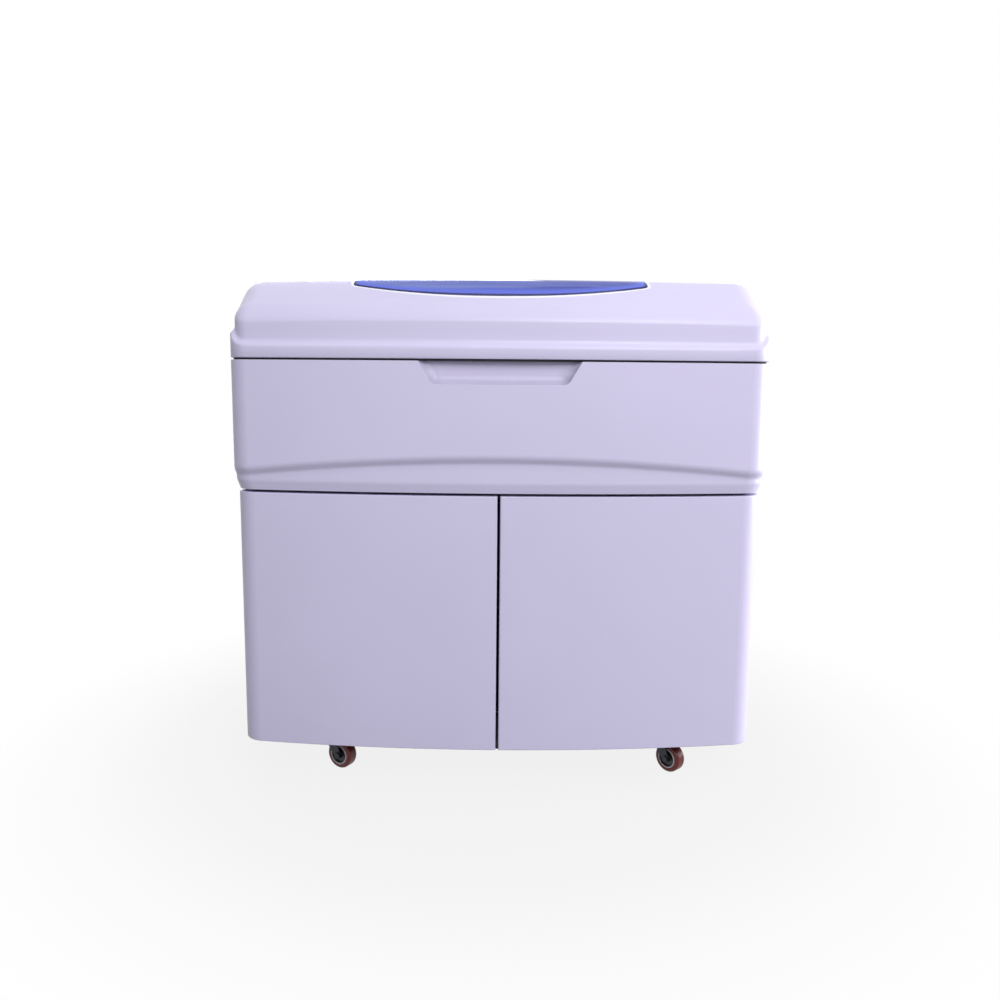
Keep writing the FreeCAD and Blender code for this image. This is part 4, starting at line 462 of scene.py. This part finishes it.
LID_BOTTOM, LID_TOP = 0.918, 1.090
LID_WALL = 0.003
FLANGE_STEP = 0.010
FLANGE_FRONT, FLANGE_SIDE = 0.942, 0.962
CLIMB_BEGIN, CLIMB_LENGTH = -0.345, 0.055
FACE_BEGIN = 0.016
SLOPE_FOOT, SLOPE_RUN = 1.009, 0.115
ROOF_BLEND = 0.012
RIM_BEGIN, RIM_LENGTH = -0.365, 0.12
RIM_RUN, RIM_RUN_MORE = 0.030, 0.018
RIM_DROP, RIM_DROP_MORE = 0.017, 0.017
LIP_RISE, LIP_WIDTH, LIP_FLAT, LIP_INNER_RISE = 0.0012, 0.03, 0.99, 0.0002

# The skin's profile, inset and rise: the hems' above the lid's bottom, the others' above the flange's edge

OUTER_HEM = ((0.0022, 0.0), (0.0006, 0.0004), (0.0, 0.0016))
FLANGE_EDGE = ((0.0, -0.004), (0.0, 0.0015), (0.004, 0.004))
FACE_FOOT = ((0.0045, 0.0045), (FLANGE_STEP, 0.0085), (FLANGE_STEP, FACE_BEGIN))
INNER_STEP = ((FLANGE_STEP + LID_WALL, 0.014), (0.0058, 0.003), (LID_WALL, -0.002))
INNER_HEM = ((LID_WALL, 0.0008), (0.0026, 0.0))

# The window, its pane and the ribs

WINDOW_MIDDLE = np.array([0.0, -0.15])
WINDOW_HALF, WINDOW_REAR_HALF = 0.3135, 0.290
WINDOW_FRONT, WINDOW_SHOULDER, WINDOW_REAR = 0.3045, 0.254, 0.030
WINDOW_BOW = 2.2
WINDOW_ROUNDING = 160
RIB_REACH, RIB_COUNT = 0.509, 6
RIB_BOTTOM, RIB_TOP = 1.073, 1.0885
RIB_FRONT, RIB_REAR, RIB_WIDTH = -0.004, 0.295, 0.0025
PANE_GAP, PANE_EDGE, PANE_LEVEL = 0.0006, 0.0020, -0.0004
PANE_OVER, PANE_UNDER, PANE_TOP = 0.0017, -0.0024, 1.0918


def spaced(points, count):
    """A closed outline with its points set at equal steps along its length."""
    closed = np.concatenate([points, points[:1]])
    length = np.concatenate([[0.0], np.cumsum(np.hypot(*np.diff(closed, axis=0).T))])
    at = np.linspace(0.0, length[-1], count, endpoint=False)
    return np.stack([np.interp(at, length, closed[:, 0]), np.interp(at, length, closed[:, 1])], -1)


def inward(outline):
    """Unit normals of a closed anticlockwise outline, towards its inside."""
    along = np.roll(outline, -1, axis=0) - np.roll(outline, 1, axis=0)
    along /= np.linalg.norm(along, axis=1)[:, None]
    return np.stack([-along[:, 1], along[:, 0]], -1)


def roof_height(x, y):
    """The lid's top without its rounded rim: the softer lesser of the front slope and the flat top.

    The slope climbs with the depth behind the bow, which is the bow's radius less the distance to its middle.
    """
    depth = BOW - FLANGE_STEP - np.hypot(x, y - (BOW - BODY_FRONT))
    slope = SLOPE_FOOT + depth * (LID_TOP - SLOPE_FOOT) / SLOPE_RUN
    gap = slope - LID_TOP
    return LID_TOP + 0.5 * (gap - np.sqrt(gap ** 2 + ROOF_BLEND ** 2))


def around_window(directions, inset):
    """Points of the window's outline in the given directions from its middle.

    The front is a power curve of the distance from the middle. The corners are rounded by taking the mean of
    every point and its two neighbours, over and over.
    """
    x = np.linspace(-1.0, 1.0, 161)
    front = -WINDOW_FRONT + (WINDOW_FRONT - WINDOW_SHOULDER) * np.abs(x) ** WINDOW_BOW
    rear = [[WINDOW_REAR_HALF, -WINDOW_REAR], [-WINDOW_REAR_HALF, -WINDOW_REAR]]
    path = spaced(np.concatenate([np.stack([WINDOW_HALF * x, front], -1), rear]), 2400)
    for _ in range(WINDOW_ROUNDING):
        path = (np.roll(path, 1, axis=0) + path + np.roll(path, -1, axis=0)) / 3.0
    path = path + inward(path) * inset - WINDOW_MIDDLE
    angle = np.arctan2(*path.T[::-1])
    order = np.argsort(angle)
    reach = np.interp(directions, angle[order], np.hypot(*path.T)[order], period=2.0 * math.pi)
    return WINDOW_MIDDLE + reach[:, None] * np.stack([np.cos(directions), np.sin(directions)], -1)


def lid_skin():
    """The moulded lid as one closed skin.

    Rows of points climb the outside, turn at the window and go back down inside. The flange and the upright
    face are the body's outline drawn in by the row's inset. Over the crease each row lies under the roof by a
    quarter of an ellipse: drop times one less the root of one less the square of the share left. The rest of
    the roof runs straight from there to the window, at the roof's height.
    """
    insets = np.linspace(0.0, 0.066, 34)
    family = np.stack([plan(inset, BOW - inset, 0.003, 48) for inset in insets])
    along = family[0][:, 1]
    count = len(along)
    column = np.arange(count)
    climb = np.clip((along - CLIMB_BEGIN) / CLIMB_LENGTH, 0.0, 1.0) ** 3
    climb = climb * (4.0 - 3.0 * climb)
    edge = FLANGE_FRONT + (FLANGE_SIDE - FLANGE_FRONT) * climb
    lean = np.clip((along - RIM_BEGIN) / RIM_LENGTH, 0.0, 1.0)
    lean = lean * lean * (3.0 - 2.0 * lean)
    run = RIM_RUN + RIM_RUN_MORE * lean
    drop = RIM_DROP + RIM_DROP_MORE * lean

    def drawn_in(inset):
        at = np.broadcast_to(inset, (count,)) / insets[1]
        below = np.minimum(at.astype(int), len(insets) - 2)
        part = (at - below)[:, None]
        return family[below, column] * (1.0 - part) + family[below + 1, column] * part

    def row(inset, height):
        return np.column_stack([drawn_in(inset), np.broadcast_to(height, (count,))])

    def rim_row(share, under):
        inset = run * (1.0 - np.cos(share * math.pi / 2.0))
        across = drawn_in(FLANGE_STEP + inset + under)
        left = 1.0 - inset / run
        fall = drop * (1.0 - np.sqrt(np.clip(1.0 - left ** 2, 0.0, 1.0)))
        return np.column_stack([across, roof_height(*across.T) - fall - under])

    def roof_row(part, rise):
        across = start + (goal - start) * part
        return np.column_stack([across, roof_height(*across.T) + rise])

    rows = [row(inset, LID_BOTTOM + rise) for inset, rise in OUTER_HEM]
    bend = np.linspace(0.0, 1.0, 7)[:, None]
    for corner in np.array([FLANGE_EDGE, FACE_FOOT]):
        curve = (1 - bend) ** 2 * corner[0] + 2 * bend * (1 - bend) * corner[1] + bend ** 2 * corner[2]
        rows += [row(inset, edge + rise) for inset, rise in curve]
    outer, inner = np.zeros(count), np.full(count, LID_WALL)
    face = rim_row(0.0, outer)[:, 2] - edge - FACE_BEGIN
    rows += [row(FLANGE_STEP, edge + FACE_BEGIN + face * part) for part in (0.35, 0.7)]
    rows += [rim_row(share, outer) for share in np.linspace(0.0, 1.0, 18)]
    start = rows[-1][:, :2]
    goal = around_window(np.arctan2(*(start - WINDOW_MIDDLE).T[::-1]), 0.0)
    roof_start = len(rows) - 1
    for part in (*np.linspace(0.0, 0.94, 30)[1:], 0.96, 0.975, 0.985, 0.992, 0.997, 1.0):
        lip = LIP_RISE * math.exp(-((1.0 - part) / LIP_WIDTH) ** 2)
        rows.append(roof_row(part, lip if part < LIP_FLAT else LIP_INNER_RISE))
    turn = len(rows)
    rows += [roof_row(part, -LID_WALL) for part in (1.0, 0.98, *np.linspace(0.9, 0.0, 16))]
    rows += [rim_row(share, inner) for share in np.linspace(0.9, 0.0, 9)]
    rows += [row(inset, edge + rise) for inset, rise in INNER_STEP]
    rows += [row(inset, LID_BOTTOM + rise) for inset, rise in INNER_HEM]
    points = np.stack(rows)
    points[turn - 1:, :, 2] = np.minimum(points[turn - 1:, :, 2], LID_TOP)
    total = len(rows) * count
    faces = [[corner % total for corner in face] for face in ring_faces(len(rows) + 1, count)]
    skin = piece("lid_skin", points.reshape(-1, 3), faces, "lid_plastic", "lid")
    far = np.full((len(rows), count), 1.0)
    far[roof_start:turn] = np.hypot(*(points[roof_start:turn, :, :2] - goal).transpose(2, 0, 1))
    store(skin, "from_window", far)
    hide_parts("lid_shell")


def lid_ribs():
    """Stiffening ribs under the flat top and one across in front of them."""
    ribs = [((-RIB_REACH, RIB_FRONT, RIB_BOTTOM), (RIB_REACH, RIB_FRONT + RIB_WIDTH, RIB_TOP))]
    half = RIB_WIDTH / 2.0
    for step in range(RIB_COUNT):
        x = RIB_REACH * (2.0 * (step + 0.5) / RIB_COUNT - 1.0)
        ribs.append(((x - half, RIB_FRONT, RIB_BOTTOM), (x + half, RIB_REAR, RIB_TOP)))
    piece("lid_ribs", *many(slab, ribs), "lid_plastic", "lid", smooth=False)


def window_pane():
    """The blue pane: rows from the middle of its underside out to the rim, over a round edge and back.

    A value on every point tells how far it is from the rim, for the colour of the edge.
    """
    count = 480
    rim = around_window(np.linspace(-math.pi, math.pi, count, endpoint=False), PANE_GAP)
    rows, distances = [], []

    def row(share, over, inset):
        flat = WINDOW_MIDDLE + (rim - WINDOW_MIDDLE) * share
        back = WINDOW_MIDDLE - flat
        length = np.maximum(np.hypot(*back.T), 1e-6)
        flat = flat + back / length[:, None] * np.minimum(inset, length)[:, None]
        rows.append(np.column_stack([flat, np.minimum(roof_height(*flat.T) + over, PANE_TOP)]))
        distances.append(np.hypot(*(rim - flat).T))

    shares = np.concatenate([[0.02, 0.1], np.linspace(0.2, 0.97, 24)])
    for share in shares:
        row(share, PANE_UNDER, 0.0)
    for turn in np.linspace(-0.5, 0.5, 9) * math.pi:
        row(1.0, PANE_LEVEL + PANE_EDGE * math.sin(turn), PANE_EDGE * (1.0 - math.cos(turn)))
    for share in shares[::-1]:
        row(share, PANE_OVER, 0.0)
    faces = ring_faces(len(rows), count) + end_faces(len(rows), count)
    pane = piece("window_pane", np.concatenate(rows), faces, "blue_window", "lid")
    store(pane, "from_rim", distances)
    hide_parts("lid_window")


SEAL_BOTTOM, SEAL_TOP, SEAL_ROUND = 0.9142, 0.9186, 0.001
SEAL_OUTER, SEAL_INNER = 0.0055, 0.0135


def lid_seal():
    """Soft black strip under the lid's flange, partly a seal and partly a dark piece standing in for the
    seam's shade: a small rectangle with cut corners carried round the outline.
    """
    low, high, cut = SEAL_BOTTOM, SEAL_TOP, SEAL_ROUND
    outer, inner = SEAL_OUTER, SEAL_INNER
    section = [(outer + cut, low), (outer, low + cut), (outer, high - cut), (outer + cut, high),
               (inner - cut, high), (inner, high - cut), (inner, low + cut), (inner - cut, low)]
    rows = [np.insert(plan(inset), 2, height, axis=1) for inset, height in section]
    points = np.concatenate(rows)
    faces = ring_faces(len(rows) + 1, len(rows[0]))
    faces = [[corner % len(points) for corner in face] for face in faces]
    piece("lid_seal", points, faces, "seal_rubber", "lid")


# Wheels

WHEEL_HALF = 0.0135
RING_INNER, RING_OUTER = 0.0193, 0.0223
RING_SUNK, RING_SIDE, RING_PROUD = -0.001, 0.0004, 0.0009


def wheel_rings():
    """A pale ring on both faces of every wheel."""
    ring = [(RING_INNER, RING_SUNK), (RING_INNER, RING_SIDE), (RING_INNER + 0.0005, RING_PROUD),
            (RING_OUTER - 0.0004, RING_PROUD), (RING_OUTER, RING_SIDE), (RING_OUTER, RING_SUNK)]
    for wheel in ("front_left", "front_right", "rear_left", "rear_right"):
        body = wheel + "_wheel"
        centre = np.array(joint_of[body]["pos_m"])
        axis = np.array(joint_of[body]["axis"], float)
        pair = [(ring, centre + axis * way * WHEEL_HALF, axis * way) for way in (1.0, -1.0)]
        piece(wheel + "_rim_rings", *many(turned_ring, pair), "rim_paint", body)


# Screws

def screw_head(centre, axis, radius, start=0):
    """Pan head with a cross recess.

    Its height falls as the fourth power of the radius, less a deep cross near the middle.
    """
    columns, rows = 48, 14
    along, first, second = crossways(axis)
    angle = np.linspace(0.0, 2.0 * math.pi, columns, endpoint=False)
    share = np.concatenate([[1.0, 1.0], np.linspace(0.97, 0.04, rows - 2)])[:, None]
    across = share * np.cos(angle) * radius
    up = share * np.sin(angle) * radius
    height = 0.55 * radius * (1.0 - 0.75 * share ** 4) * np.ones(columns)
    arm, slot = 0.52 * radius, 0.13 * radius
    near = np.clip((slot - np.minimum(np.abs(across), np.abs(up))) / (0.05 * radius), 0.0, 1.0)
    inside = np.clip((arm - np.hypot(across, up)) / (0.08 * radius), 0.0, 1.0)
    height = height - 0.4 * radius * near * inside
    height[0] = 0.0
    points = across[..., None] * first + up[..., None] * second + height[..., None] * along
    points = points + np.array(centre, float)
    return points.reshape(-1, 3), ring_faces(rows, columns, start) + end_faces(rows, columns, start)


def screws(name, places, radius, body):
    """Screw heads that face the rear, as one piece."""
    heads = [(place, (0.0, 1.0, 0.0), radius) for place in places]
    piece(name, *many(screw_head, heads), "screw_steel", body)


PANEL_SCREW, GUARD_SCREW, PORT_SCREW, LEAF_SCREW = 0.0042, 0.0034, 0.003, 0.0036
PANEL_INSET, GUARD_INSET, PORT_INSET, LEAF_INSET = 0.012, 0.005, 0.008, 0.013
PLATE = 0.003


def rear_screws():
    """Screws round the rear panel, on the guard's wires, the port plate and the hinge leaves."""
    low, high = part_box("rear_panel")
    face = high[1]
    xs = np.linspace(low[0] + PANEL_INSET + 0.02, high[0] - PANEL_INSET - 0.02, 6)
    zs = np.linspace(low[2] + PANEL_INSET + 0.03, high[2] - PANEL_INSET - 0.03, 4)
    places = [(x, face, z) for x in xs for z in (low[2] + PANEL_INSET, high[2] - PANEL_INSET)]
    places += [(x, face, z) for z in zs[1:-1] for x in (low[0] + PANEL_INSET, high[0] - PANEL_INSET)]
    screws("rear_panel_screws", places, PANEL_SCREW, "casing")
    low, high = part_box("fan_guard")
    middle = (low + high) / 2.0
    reach = (high[0] - low[0]) / 2.0 - GUARD_INSET
    ends = [(middle[0] + reach * i, high[1], middle[2] + reach * j) for i in (-1, 1) for j in (-1, 1)]
    screws("guard_screws", ends, GUARD_SCREW, "casing")
    low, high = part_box("fluid_ports")
    level = (low[2] + high[2]) / 2.0
    ends = [(x, face + PLATE, level) for x in (low[0] + PORT_INSET, high[0] - PORT_INSET)]
    screws("port_plate_screws", ends, PORT_SCREW, "casing")
    for node, body, below in (("lid_hinge_brackets", "casing", True), ("lid_hinge_arms", "lid", False)):
        places = []
        for low, high in islands(node):
            z = low[2] + LEAF_INSET if below else high[2] - LEAF_INSET
            places += [(x, BODY_REAR + PLATE, z) for x in (low[0] + LEAF_INSET, high[0] - LEAF_INSET)]
        screws(node + "_screws", places, LEAF_SCREW, body)


# The doors' stop, a black piece that also stands in for the shade in the gap between them

STOP_HALF = 0.012
STOP_FRONT, STOP_REAR = -0.3185, -0.262
STOP_BOTTOM, STOP_TOP = 0.0725, 0.128
STOP_LEAF_BOTTOM, STOP_LEAF_TOP = 0.0935, 0.0959


def door_stop():
    """Black bent bracket under the frame's front rail, behind the gap between the doors, whose black stands
    in for the shade in the gap.
    """
    upright = ((-STOP_HALF, STOP_FRONT, STOP_BOTTOM), (STOP_HALF, STOP_FRONT + 0.002, STOP_TOP))
    leaf = ((-STOP_HALF, STOP_FRONT + 0.0015, STOP_LEAF_BOTTOM), (STOP_HALF, STOP_REAR, STOP_LEAF_TOP))
    piece("door_stop", *many(slab, [upright, leaf]), "seal_rubber", "casing", smooth=False)


# Liquids and prints in the machine

def liquids():
    """Serum in the sample tubes and reagent in the cuvettes: upright columns that fill part of a vessel."""
    for node, body, wall, finish, round_foot, share in (
            ("sample_tubes", "sample_rotor", 0.0012, "serum", True, 0.55),
            ("cuvettes", "reaction_disk", 0.0014, "reagent", False, 0.6)):
        fills = []
        for count, (low, high) in enumerate(islands(node)):
            middle = (low + high) / 2.0
            radius = min(high[0] - low[0], high[1] - low[1]) / 2.0 - wall
            radius *= 1.0 if round_foot else 0.62
            foot = low[2] + (radius * 0.55 if round_foot else 0.0015)
            level = foot + (high[2] - low[2]) * share * (0.8 + 0.35 * ((count * 0.618) % 1.0))
            profile = [(radius * 0.4, foot - radius * 0.2), (radius * 0.8, foot),
                       (radius, foot + radius * 0.5), (radius, level), (radius * 0.9, level - 0.0004)]
            fills.append((profile, (middle[0], middle[1], 0.0), (0, 0, 1), 24))
        piece(node + "_liquid", *many(turned, fills), finish, body)


def bottle_collars():
    """A plain coloured band round every reagent bottle, just proud of its wall."""
    bands = []
    for low, high in islands("reagent_bottles"):
        middle = (low + high) / 2.0
        radius = (high[0] - low[0]) / 2.0
        foot, head = (low[2] + share * (high[2] - low[2]) for share in (0.25, 0.6))
        inner, outer = radius - 0.0004, radius + 0.00012
        band = [(inner, foot), (outer, foot), (outer, head), (inner, head)]
        bands.append((band, (middle[0], middle[1], 0.0), (0, 0, 1), 40))
    piece("bottle_collars", *many(turned_ring, bands), "collar_print", "reagent_rotor")


lid_skin()
lid_ribs()
window_pane()
lid_seal()
wheel_rings()
rear_screws()
door_stop()
liquids()
bottle_collars()


# Floor, light and camera

def seen_directly(nodes, links):
    """One for rays that the camera sends, also off a mirror or through glass, and nought for all others."""
    path = nodes.new("ShaderNodeLightPath")
    seen = path.outputs["Is Camera Ray"]
    for other in ("Is Glossy Ray", "Is Transmission Ray"):
        either = nodes.new("ShaderNodeMath")
        either.operation = "MAXIMUM"
        links.new(seen, either.inputs[0])
        links.new(path.outputs[other], either.inputs[1])
        seen = either.outputs[0]
    return seen


FLOOR_REACH = 30.0
FLOOR_TONE = (0.2, 0.2, 0.21, 1.0)
SHADOW_REACH, SHADOW_END, SHADOW_WHITE = 0.55, 1.3, 0.86


def floor_surface():
    """Pale floor that keeps the shadow near the machine and turns white further out, as the backdrop is."""
    floor = bpy.data.meshes.new("floor")
    corners = [(x * FLOOR_REACH, y * FLOOR_REACH, 0.0) for x, y in ((-1, -1), (1, -1), (1, 1), (-1, 1))]
    floor.from_pydata(corners, [], [(0, 1, 2, 3)])
    shown = bpy.data.objects.new("floor", floor)
    bpy.context.scene.collection.objects.link(shown)
    material = bpy.data.materials.new("pale_floor")
    material.use_nodes = True
    nodes, links = material.node_tree.nodes, material.node_tree.links
    shader = nodes["Principled BSDF"]
    shader.inputs["Base Color"].default_value = FLOOR_TONE
    shader.inputs["Roughness"].default_value = 0.9
    white = nodes.new("ShaderNodeEmission")
    mix = nodes.new("ShaderNodeMixShader")
    place = nodes.new("ShaderNodeTexCoord")
    distance = nodes.new("ShaderNodeVectorMath")
    distance.operation = "LENGTH"
    fade = nodes.new("ShaderNodeMapRange")
    fade.interpolation_type = "SMOOTHSTEP"
    set_span(fade, SHADOW_REACH, SHADOW_END, SHADOW_WHITE, 1.0)
    links.new(place.outputs["Object"], distance.inputs[0])
    links.new(distance.outputs["Value"], fade.inputs["Value"])
    share = nodes.new("ShaderNodeMath")
    share.operation = "MULTIPLY"
    links.new(seen_directly(nodes, links), share.inputs[0])
    links.new(fade.outputs["Result"], share.inputs[1])
    links.new(share.outputs[0], mix.inputs["Fac"])
    links.new(shader.outputs[0], mix.inputs[1])
    links.new(white.outputs[0], mix.inputs[2])
    links.new(mix.outputs[0], nodes["Material Output"].inputs["Surface"])
    floor.materials.append(material)


def studio_world(strength, left, right):
    """Even light from all round, weaker from the left than from the right. The backdrop is seen white."""
    world = bpy.data.worlds.new("studio")
    bpy.context.scene.world = world
    world.use_nodes = True
    nodes, links = world.node_tree.nodes, world.node_tree.links
    soft = nodes["Background"]
    soft.inputs["Color"].default_value = (0.95, 0.96, 1.0, 1.0)
    place = nodes.new("ShaderNodeTexCoord")
    parts = nodes.new("ShaderNodeSeparateXYZ")
    across = nodes.new("ShaderNodeMapRange")
    set_span(across, -1.0, 1.0, strength * left, strength * right)
    links.new(place.outputs["Generated"], parts.inputs[0])
    links.new(parts.outputs["X"], across.inputs["Value"])
    links.new(across.outputs["Result"], soft.inputs["Strength"])
    white = nodes.new("ShaderNodeBackground")
    white.inputs["Color"].default_value = (1.0, 1.0, 1.0, 1.0)
    white.inputs["Strength"].default_value = 1.0
    mix = nodes.new("ShaderNodeMixShader")
    links.new(seen_directly(nodes, links), mix.inputs["Fac"])
    links.new(soft.outputs[0], mix.inputs[1])
    links.new(white.outputs[0], mix.inputs[2])
    links.new(mix.outputs[0], nodes["World Output"].inputs["Surface"])


def lamp(name, place, size, power, target=(0.0, 0.0, 0.6)):
    """A square soft lamp at a place, turned to face a target."""
    light = bpy.data.lights.new(name, "AREA")
    light.size = size
    light.energy = power
    made = bpy.data.objects.new(name, light)
    made.location = place
    made.rotation_euler = (Vector(target) - Vector(place)).to_track_quat("-Z", "Y").to_euler()
    bpy.context.scene.collection.objects.link(made)


EYE = (-0.006, -2.154, 0.884)
TILT_DOWN, ROLL = 7.92, 0.478


def photo_camera():
    """The photograph's view: eye height and distance, tilt down, a slight roll and a small shift."""
    camera = bpy.data.cameras.new("photo_view")
    camera.sensor_width = 36.0
    camera.lens = 31.59
    camera.shift_x = 0.004
    camera.shift_y = -0.0017
    camera.clip_start = 0.05
    camera.clip_end = 100.0
    made = bpy.data.objects.new("photo_view", camera)
    tilt = Matrix.Rotation(math.radians(90.0 - TILT_DOWN), 4, "X")
    roll = Matrix.Rotation(math.radians(ROLL), 4, "Z")
    made.matrix_world = Matrix.Translation(EYE) @ tilt @ roll
    bpy.context.scene.collection.objects.link(made)
    bpy.context.scene.camera = made


floor_surface()
studio_world(0.5, 0.15, 1.85)
lamp("key_lamp", (1.2, -3.3, 3.1), 2.2, 95.0)
lamp("side_lamp", (3.6, 0.4, 1.2), 1.6, 110.0)
lamp("fill_lamp", (-1.3, -3.5, 2.4), 2.2, 11.0)
lamp("top_lamp", (0.2, -0.4, 3.4), 2.2, 3.0)
lamp("rear_lamp", (-1.0, 3.2, 2.4), 2.4, 64.0)
photo_camera()
bpy.context.scene.view_settings.view_transform = "Standard"
